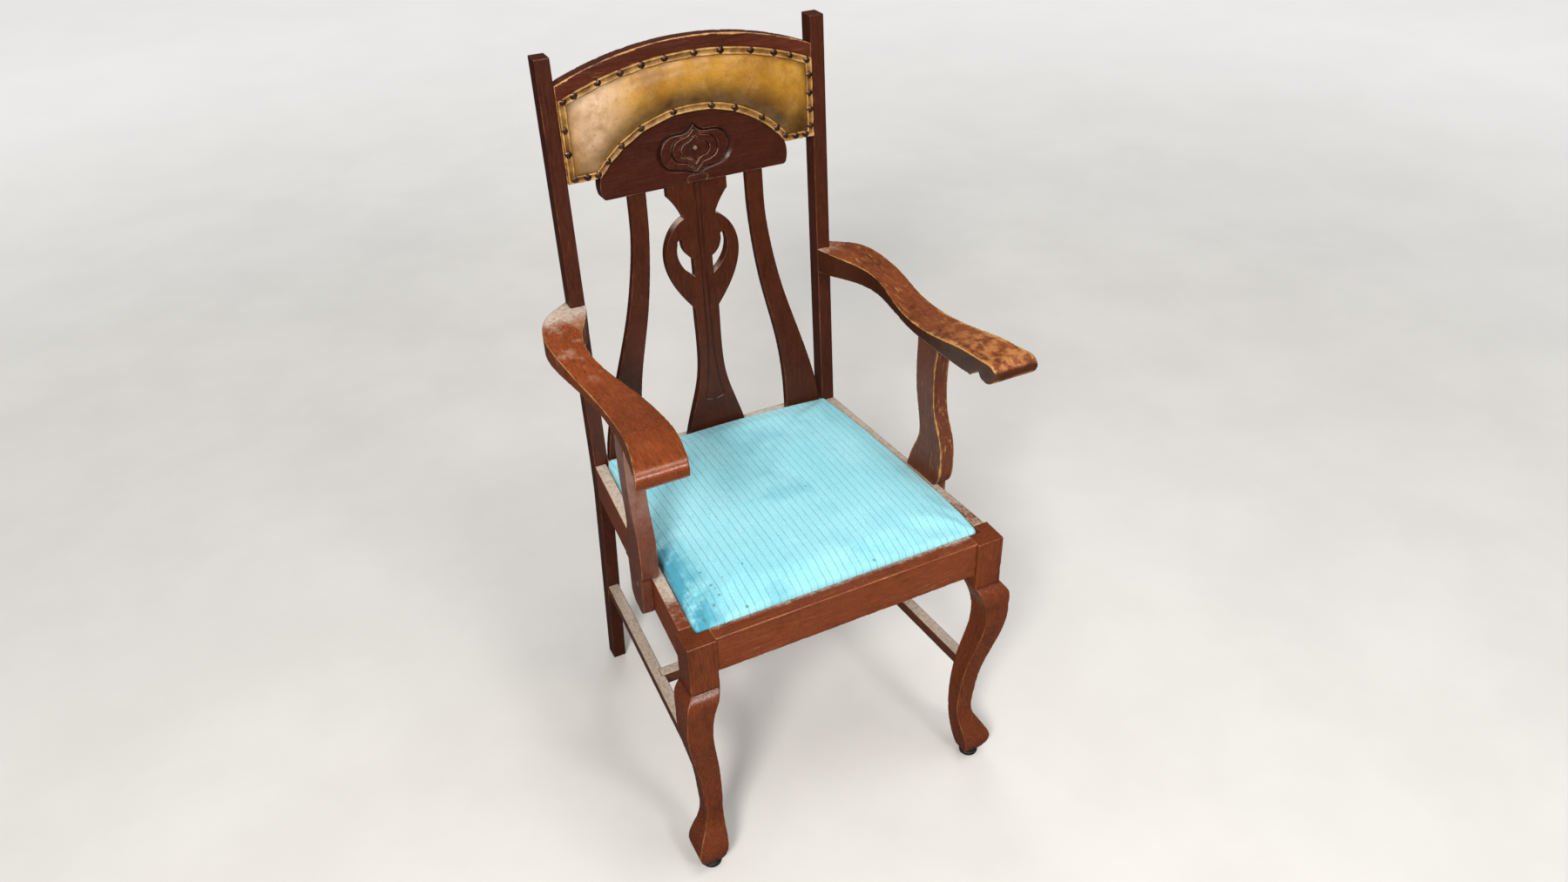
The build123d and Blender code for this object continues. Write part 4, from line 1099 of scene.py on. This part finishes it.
# drop-in seat: a crowned pad in ribbed cloth
seat = {
    "front": -0.229305,
    "back": 0.192695,
    "frontHalf": 0.22439,
    "backHalf": 0.19602,
    "corner": 0.012,
    "floor": 0.442,
    "rail": 0.46,
    "round": 0.0095,
    "sideFall": 0.008,
    # height of the crown above the rails, from the front edge to the back
    "crown": [
        (0.0, 0.011), (0.1, 0.0188), (0.25, 0.0225), (0.45, 0.024), (0.7, 0.0232), (0.92, 0.0205),
        (1.0, 0.017),
    ],
    "swellGrid": 61,
    "pressure": 2.2,
    "swell": 0.0035,
    "grid": (580, 70),
    "quickGrid": (200, 50),
    "sideColumns": (0.985, 0.991, 0.997),  # shares of the half width where the columns stand closer
    "bunched": 0.55,  # how much the rows crowd towards the front and back
    # the sides below the top: the share of the height that is left, and how far in
    "sides": [(0.55, 0.0), (0.25, 0.0003), (0.05, 0.0004), (0.0, 0.0012), (0.0, 0.006), (0.0, 0.022)],
    "sideFrom": (0.189, 0.1899),  # past these, from the middle, the rim belongs to a side or an end
    "cloth": 0.0008,
    "wale": 0.0235,  # a broad and a narrow rib
    "narrow": 0.0105,
    "waleShift": 0.0035,
    "groove": 0.0009,
    "grooveDepth": 0.0005,
    "cord": 0.0027,
    "specks": [  # soiled spots: x, y and radius
        (-0.178, -0.142, 0.0024), (-0.12, -0.155, 0.002), (-0.175, -0.172, 0.0028), (-0.173, -0.18, 0.002),
        (-0.172, -0.192, 0.0026), (-0.185, -0.203, 0.003), (-0.206, -0.218, 0.0036), (-0.145, -0.222, 0.003),
        (0.052, -0.222, 0.0026), (0.037, -0.043, 0.0018), (-0.155, -0.165, 0.0017), (-0.198, -0.19, 0.002),
    ],
}
seatMiddle, seatReach = (seat["front"] + seat["back"]) / 2, (seat["back"] - seat["front"]) / 2

tackProfile = [
    (0.0, -0.0002), (0.003, -0.0002), (0.003, 0.0002), (0.0026, 0.0007), (0.0015, 0.001), (0.0, 0.0011),
]
downward = Vector((0, 0, -1))
tackSpots = [headPlace(points, downward) for points in islands("seat_tacks")]
tackPlaces = [(Vector((spot.x, spot.y, seat["floor"])), downward) for spot in tackSpots]
blued = metalFinish("bluedSteel", srgb(34, 34, 40), srgb(92, 90, 94), rough=0.35, tarnish=0.25)
tackMesh = lathe("tackHead", tackProfile, 14)
tacks = setPieces("seatTacks", tackMesh, tackPlaces, blued, uneven=0.06, tilt=0.05, seed=9)
dress(tacks, "drop_in_seat", "screw_steel", "seat_tacks")
print("nails, screws and tacks set")

# black pads under the front feet
glideRadius, glideTints = 0.015, (srgb(20, 20, 21), srgb(74, 70, 66))
glideProfile = [
    (0.0, 0.0), (0.0118, 0.0), (0.0136, 0.0006), (0.0147, 0.002), (glideRadius, 0.004), (0.0147, 0.006),
    (0.0138, 0.0072), (0.0124, 0.0078), (0.0, 0.0079),
]


def glideFinish():
    made, coords = newMaterial("blackPad")
    scuff = coords.noise(160, 5, 0.65)
    colour = scuff.spread(0.48, 0.75).between(*glideTints)
    return surface(made, colour, scuff.spread(0.3, 0.7, 0.45, 0.75), scuff, (0.2, 0.0004))


low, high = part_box("front_glides")
glideX, glideY = high.x - glideRadius, (low.y + high.y) / 2
glidePlaces = [(Vector((side * glideX, glideY, 0)), Vector((0, 0, 1))) for side in (-1, 1)]
glides = setPieces("frontGlides", lathe("footPad", glideProfile, 40), glidePlaces, glideFinish())
dress(glides, "chair_frame", "glide_plastic", "front_glides")
print("glides set")


def seatHalf(y):
    share = (y - seat["front"]) / (seat["back"] - seat["front"])
    return seat["frontHalf"] + share * (seat["backHalf"] - seat["frontHalf"])


def roundedPlan(u, v):
    # (u, v) from -1 to 1 on the seat's plan, with its corners rounded
    r = seat["corner"]
    y = v * seatReach
    half = seatHalf(y + seatMiddle)
    x = u * half
    a, b = (np.abs(x) - (half - r)) / r, (np.abs(y) - (seatReach - r)) / r
    corner = (a > 0) & (b > 0)
    a, b = np.where(corner, a, 0), np.where(corner, b, 0)
    x = np.where(corner, np.sign(x) * (half - r + r * a * np.sqrt(1 - b * b / 2)), x)
    y = np.where(corner, np.sign(y) * (seatReach - r + r * b * np.sqrt(1 - a * a / 2)), y)
    return x, y + seatMiddle


def seatHeight(u, v):
    # the crown, less the rounded shoulder all round
    crown = np.interp((v + 1) / 2, *zip(*seat["crown"]))
    width, r = (seat["frontHalf"] + seat["backHalf"]) / 2, seat["round"]
    near = np.minimum((1 - np.abs(u)) * width, (1 - np.abs(v)) * seatReach)
    inside = np.clip(r - near, 0, r)
    drop = r - np.sqrt(np.maximum(r * r - inside * inside, 0))
    return seat["rail"] + crown - seat["sideFall"] * u * u - drop


def grooveShape(x):
    # 1 in the middle of a groove, 0 on the ribs
    across = np.mod(x + seat["waleShift"], seat["wale"])
    first = np.minimum(across, seat["wale"] - across)
    second = np.abs(across - seat["narrow"])
    return np.clip(1 - np.minimum(first, second) / seat["groove"], 0, 1) ** 1.5


def gridPoints(*axes):
    return np.stack(axes, -1).reshape(-1, 3)


def swellOfSeat():
    # a coarse cloth run gives the give of the stuffing, as a grid of rises
    n = seat["swellGrid"]
    line = np.linspace(-1, 1, n)
    u, v = np.meshgrid(line, line)
    places = gridPoints(*roundedPlan(u, v), seatHeight(u, v))
    mesh = bpy.data.meshes.new("seatSwell")
    mesh.from_pydata([tuple(p) for p in places], [], gridFaces(n, n))
    mesh.update()
    piece = newPiece("seatSwell", mesh)
    rim = (np.abs(u) > 0.999) | (np.abs(v) > 0.999)
    moved = puffed(piece, np.flatnonzero(rim.ravel()), seat["pressure"], seat["swell"])
    bpy.data.objects.remove(piece)
    return moved[:, 2].reshape(n, n)


def makeSeatCover():
    columns, rows = seat["grid"]
    inner, *outer = seat["sideColumns"]
    even = np.linspace(-inner, inner, columns - 2)
    lineU = np.unique(np.concatenate([even, outer, np.negative(outer), [-1, 1]]))
    crowded = np.sin(np.linspace(-math.pi / 2, math.pi / 2, rows))
    lineV = seat["bunched"] * crowded + (1 - seat["bunched"]) * np.linspace(-1, 1, rows)
    columns = len(lineU)
    u, v = np.meshgrid(lineU, lineV)
    x, y = roundedPlan(u, v)
    z = seatHeight(u, v)
    rise = swellOfSeat()
    last = len(rise) - 1
    pu, pv = (u + 1) / 2 * last, (v + 1) / 2 * last
    iu, iv = np.clip(pu.astype(int), 0, last - 1), np.clip(pv.astype(int), 0, last - 1)
    fu, fv = pu - iu, pv - iv
    z = z + (rise[iv, iu] * (1 - fu) + rise[iv, iu + 1] * fu) * (1 - fv)
    z = z + (rise[iv + 1, iu] * (1 - fu) + rise[iv + 1, iu + 1] * fu) * fv
    top = gridPoints(x, y, z - seat["grooveDepth"] * grooveShape(x))
    faces, places = gridFaces(rows, columns), [top]
    # the sides go down to the floor of the rebate and turn under
    ring, total = gridRing(rows, columns), len(top)
    edge, low = top[ring], seat["floor"] + 0.0001
    toward = np.array([0, seatMiddle]) - edge[:, :2]
    toward = np.where(np.abs(toward) > np.array(seat["sideFrom"]), np.sign(toward), 0.0)
    for share, inset in seat["sides"]:
        places.append(np.column_stack([edge[:, :2] + toward * inset, low + (edge[:, 2] - low) * share]))
        below = list(range(total, total + len(ring)))
        faces += bandFaces(ring, below)
        ring, total = below, total + len(ring)
    mesh = meshFrom("seatCover", np.concatenate(places), faces)
    piece = newPiece("seatCover", mesh)
    upward = sum(p.normal.z for p in mesh.polygons if p.center.z > seat["rail"] + 0.005)
    if upward < 0:
        mesh.flip_normals()
    thick = piece.modifiers.new("cloth", "SOLIDIFY")
    thick.thickness, thick.offset = seat["cloth"], -1.0
    settleModifiers(piece)
    piece.data.shade_smooth()
    return piece


clothTints = {
    "cloth": (srgb(150, 220, 231), srgb(168, 230, 240)),
    "stain": srgb(48, 146, 172),
    "speck": srgb(78, 98, 80),
    "knot": srgb(88, 170, 188),
    # darker blues painted into the troughs of the ribs and the grooves, as painted shade
    "ribShade": srgb(84, 168, 186),
    "groove": srgb(46, 114, 130),
}


def ribbedCloth(s, tints):
    made, coords = newMaterial("turquoiseCord")
    x, y, _ = coords.parts()
    waver = (coords.noise(30, 2, 0.5) - 0.5) * 0.0012
    across = (x + s["waleShift"] + waver).math("FLOORED_MODULO", s["wale"])
    first = across.math("MINIMUM", s["wale"] - across)
    second = (across - s["narrow"]).math("ABSOLUTE")
    groove = first.math("MINIMUM", second).spread(0.001, 0.0001)
    groove = groove * coords.noise(60, 3, 0.6).spread(0.3, 0.6, 0.45, 1.0)
    ribs = (x * (2 * math.pi / s["cord"])).math("SINE")
    knots = (coords * (1100, 420, 900)).noise(1, 3, 0.65)
    leftFront = x.spread(-0.155, -0.21) * y.spread(0.02, -0.09)
    stained = leftFront * coords.noise(26, 5, 0.65).spread(0.36, 0.6)
    middle = (coords + (5, 2, 0)).noise(11, 4, 0.6).spread(0.5, 0.75) * 0.34
    ragged = (coords.noise(420, 2, 0.6) - 0.5) * 0.004
    plan = coords.into("ShaderNodeCombineXYZ", {0: x, 1: y})
    spots = []
    for spotX, spotY, radius in s["specks"]:
        ends = {0: plan, 1: (spotX, spotY, 0)}
        gap = plan.into("ShaderNodeVectorMath", ends, "Value", operation="DISTANCE")
        spots.append(((gap + ragged).spread(radius, 0.45 * radius) * 0.7, tints["speck"]))
    cloth = layered(
        coords.noise(9, 4, 0.6).spread(0.3, 0.7).between(*tints["cloth"]),
        ((stained * 0.95).math("MAXIMUM", middle), tints["stain"]),
        *spots,
        (knots.spread(0.42, 0.7) * 0.5, tints["knot"]),
        # painted shade: the troughs of the fine ribs and the grooves between the wales are painted darker
        (ribs.spread(0.2, -1.0) * 0.16, tints["ribShade"]),
        (groove * 0.52, tints["groove"]),
    )
    height = ribs * 0.25 + knots * 0.6 - groove * 1.2
    sheen = {"Sheen Weight": 0.15, "Sheen Roughness": 0.5}
    return surface(made, cloth, knots.spread(0.3, 0.7, 0.82, 0.95), height, (0.35, 0.0006), sheen)


cover = makeSeatCover()
dress(cover, "drop_in_seat", "seat_fabric", "seat_cover", finish=ribbedCloth(seat, clothTints))
print("seat covered")

# webbing straps, woven over and under each other
webbing = {
    "width": 0.05,
    "thickness": 0.0011,
    "hem": 0.0006,
    "lift": 0.00075,
    "level": 0.459,
    "across": (-0.1238, -0.0183, 0.0872),
    "along": (-0.1158, -0.0386, 0.0386, 0.1158),
    "inset": 0.0125,
    "crossing": 0.036,
    "tackedEnd": 0.05,
    "steps": 90,
    "jute": (srgb(120, 92, 56), srgb(178, 146, 98)),
    "weave": srgb(92, 68, 40),
}


def strap(points, side):
    # a flat strip through the points, with a little thickness and rounded edges
    half, thick = webbing["width"] / 2, webbing["thickness"] / 2
    flat = [-half + webbing["hem"], -half * 0.5, 0, half * 0.5, half - webbing["hem"]]
    section = [(-half, 0), *((a, thick) for a in flat), (half, 0), *((a, -thick) for a in reversed(flat))]
    places = [point + side * a + Vector((0, 0, b)) for point in points for a, b in section]
    count = len(section)
    faces = gridFaces(len(points), count, closed=True)
    faces += [tuple(reversed(range(count))), tuple(range((len(points) - 1) * count, len(points) * count))]
    return places, faces


def strapLine(w, low, high, others, first):
    # (run, height) along one strap, over and under the others in turn, and flat where its ends are tacked
    line = []
    for k in range(w["steps"] + 1):
        run = low + (high - low) * k / w["steps"]
        wave, over = 0.0, first
        for other in others:
            close = max(0.0, 1 - abs(run - other) / w["crossing"])
            wave += over * min(1.0, 2 * close)
            over = -over
        free = min(1.0, (run - low) / w["tackedEnd"], (high - run) / w["tackedEnd"])
        line.append((run, w["level"] + w["lift"] * wave * free))
    return line


def makeWebbing(w):
    made = []
    for i, y in enumerate(w["across"]):
        end = seatHalf(y) - w["inset"]
        line = strapLine(w, -end, end, w["along"], (-1) ** i)
        made.append(strap([Vector((run, y, height)) for run, height in line], Vector((0, 1, 0))))
    low, high = seat["front"] + w["inset"], seat["back"] - w["inset"]
    for i, x in enumerate(w["along"]):
        line = strapLine(w, low, high, w["across"], -((-1) ** i))
        made.append(strap([Vector((x, run, height)) for run, height in line], Vector((1, 0, 0))))
    places, faces = [], []
    for strapPlaces, strapFaces in made:
        faces += [tuple(len(places) + v for v in face) for face in strapFaces]
        places += strapPlaces
    return newPiece("seatWebbing", meshFrom("seatWebbing", places, faces))


def juteFinish(s):
    made, coords = newMaterial("juteWebbing")
    fine = (coords * (700, 700, 700)).noise(1, 3, 0.6)
    weave = coords.into("ShaderNodeTexChecker", {"Vector": coords, "Scale": 620.0}, "Fac")
    colour = fine.spread(0.3, 0.7).between(*s["jute"])
    colour = (weave * 0.25).between(colour, s["weave"])
    return surface(made, colour, fine.spread(0.3, 0.7, 0.85, 0.95), weave + fine, (0.4, 0.0005))


straps = makeWebbing(webbing)
dress(straps, "drop_in_seat", "webbing", "seat_webbing", finish=juteFinish(webbing))

# the stuffing shows only between the straps, seen from below
stuffing = {
    "grid": 70,
    "inset": 0.985,
    "cover": 0.004,
    "floor": 0.4607,
    "sag": 0.0024,
    "sagOver": 0.012,  # from a strap's edge
    "lumps": 0.0004,
    "lumpPitch": (310, 270),
    "edge": 0.28,  # share of the half width that stays flatter
    "rim": 0.98,
    "hair": (srgb(92, 74, 52), srgb(196, 178, 142)),
}


def makeStuffing(s):
    n = s["grid"]
    line = np.linspace(-1, 1, n) * s["inset"]
    u, v = np.meshgrid(line, line)
    x, y = roundedPlan(u, v)
    gapX = np.min([np.abs(x - a) for a in webbing["along"]], axis=0)
    gapY = np.min([np.abs(y - a) for a in webbing["across"]], axis=0)
    free = np.clip((np.minimum(gapX, gapY) - webbing["width"] / 2) / s["sagOver"], 0, 1)
    inner = np.clip((1 - np.abs(u)) / s["edge"], 0, 1) * np.clip((1 - np.abs(v)) / s["edge"], 0, 1)
    pitchX, pitchY = s["lumpPitch"]
    lumps = s["lumps"] * np.sin(x * pitchX) * np.sin(y * pitchY + 1.3)
    under = s["floor"] - (s["sag"] * free + lumps * free) * np.clip(3 * inner - 1, 0, 1)
    rim = (np.abs(u) > s["rim"]) | (np.abs(v) > s["rim"])
    top = np.maximum(seatHeight(u, v) - s["cover"], s["floor"] + 0.0005)
    top = np.where(rim, np.maximum(under, s["floor"] + 0.0001), top)
    places = np.concatenate([gridPoints(x, y, z) for z in (top, under)])
    faces, ring = gridFaces(n, n), gridRing(n, n)
    faces += turnedOver(faces, n * n) + bandFaces(ring, [n * n + i for i in ring])
    return newPiece("seatStuffing", meshFrom("seatStuffing", places, faces))


def stuffingFinish(s):
    made, coords = newMaterial("hairStuffing")
    hair, tangle = ((coords * stretch).noise(1, 4, 0.7) for stretch in ((160, 900, 300), (900, 170, 300)))
    mixed = (hair + tangle) * 0.5
    colour = mixed.spread(0.35, 0.65).between(*s["hair"])
    return surface(made, colour, mixed.spread(0.3, 0.7, 0.85, 1.0), mixed, (0.6, 0.001))


filling = makeStuffing(stuffing)
dress(filling, "drop_in_seat", "stuffing", "seat_stuffing", finish=stuffingFinish(stuffing))
print("webbing and stuffing in place")

# floor, lights and surroundings
studio = {
    "floor": srgb(226, 224, 220),
    "floorMottle": srgb(220, 218, 214),
    "floorHalf": 14,
    "floorMirrored": (0.06, 0.06, 0.06, 1),
    "around": (0.92, 0.92, 0.93, 1.0),
    "ambient": 0.32,
    "mirrored": 0.1,
    "backdrop": 0.85,
    "farGlow": 0.62,
    "farFrom": (1.2, 5.0),  # the floor fades into the backdrop between these distances
    "aim": Vector((0, 0, 0.5)),
    "lamps": {  # place, size, power and colour
        "keyLamp": ((-2.35, -2.9, 3.2), 1.1, 160, (1.0, 0.97, 0.93)),
        "topLamp": ((0.4, -0.75, 3.2), 1.3, 26, (1.0, 0.99, 0.97)),
        "frontLamp": ((0.45, -2.6, 2.35), 0.6, 23, (1.0, 0.98, 0.96)),
        "sideLamp": ((2.4, -1.6, 1.7), 2.4, 9, (0.95, 0.97, 1.0)),
        "backLamp": ((0.8, 2.6, 2.6), 2.0, 24, (1.0, 1.0, 1.0)),
    },
    "notMirrored": ("sideLamp", "backLamp"),
}


def makeFloor(s):
    half = s["floorHalf"]
    mesh = bpy.data.meshes.new("floor")
    corners = [(-half, -half, 0), (half, -half, 0), (half, half, 0), (-half, half, 0)]
    mesh.from_pydata(corners, [], [(0, 1, 2, 3)])
    floor = newPiece("floor", mesh)
    paint, coords = newMaterial("paleFloor")
    rays = signals(addNode(paint.node_tree, "ShaderNodeLightPath"))
    shade = coords.noise(3, 4, 0.6).spread(0.3, 0.7).between(s["floor"], s["floorMottle"])
    away = coords.into("ShaderNodeVectorMath", {0: coords}, "Value", operation="LENGTH")
    seen = away.spread(*s["farFrom"], 0.0, s["backdrop"] * s["farGlow"]) * rays["Is Camera Ray"]
    sockets = {
        "Base Color": rays["Is Glossy Ray"].between(shade, s["floorMirrored"]),
        "Roughness": 0.9,
        "Specular IOR Level": 0.0,
        "Emission Color": seen.into("ShaderNodeCombineColor", {0: seen, 1: seen, 2: seen}),
        "Emission Strength": 1.0,
    }
    fill(paint.node_tree.nodes["Principled BSDF"], sockets)
    mesh.materials.append(paint)
    floor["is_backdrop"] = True


def makeLights(s):
    for name, (place, size, power, colour) in s["lamps"].items():
        data = bpy.data.lights.new(name, "AREA")
        data.shape, data.size, data.energy, data.color = "DISK", size, power, colour
        lamp = bpy.data.objects.new(name, data)
        scene.collection.objects.link(lamp)
        lamp.location = place
        lamp.visible_glossy = name not in s["notMirrored"]
        lamp.rotation_euler = (s["aim"] - lamp.location).to_track_quat("-Z", "Y").to_euler()
    world = bpy.data.worlds.new("surroundings")
    world.use_nodes = True
    scene.world = world
    rays = signals(addNode(world.node_tree, "ShaderNodeLightPath"))
    level = rays["Is Glossy Ray"].spread(0.0, 1.0, s["ambient"], s["mirrored"])
    strength = level.math("MAXIMUM", rays["Is Camera Ray"] * s["backdrop"])
    fill(world.node_tree.nodes["Background"], {"Color": s["around"], "Strength": strength})


makeFloor(studio)
makeLights(studio)
print("stage lit")

low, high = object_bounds()
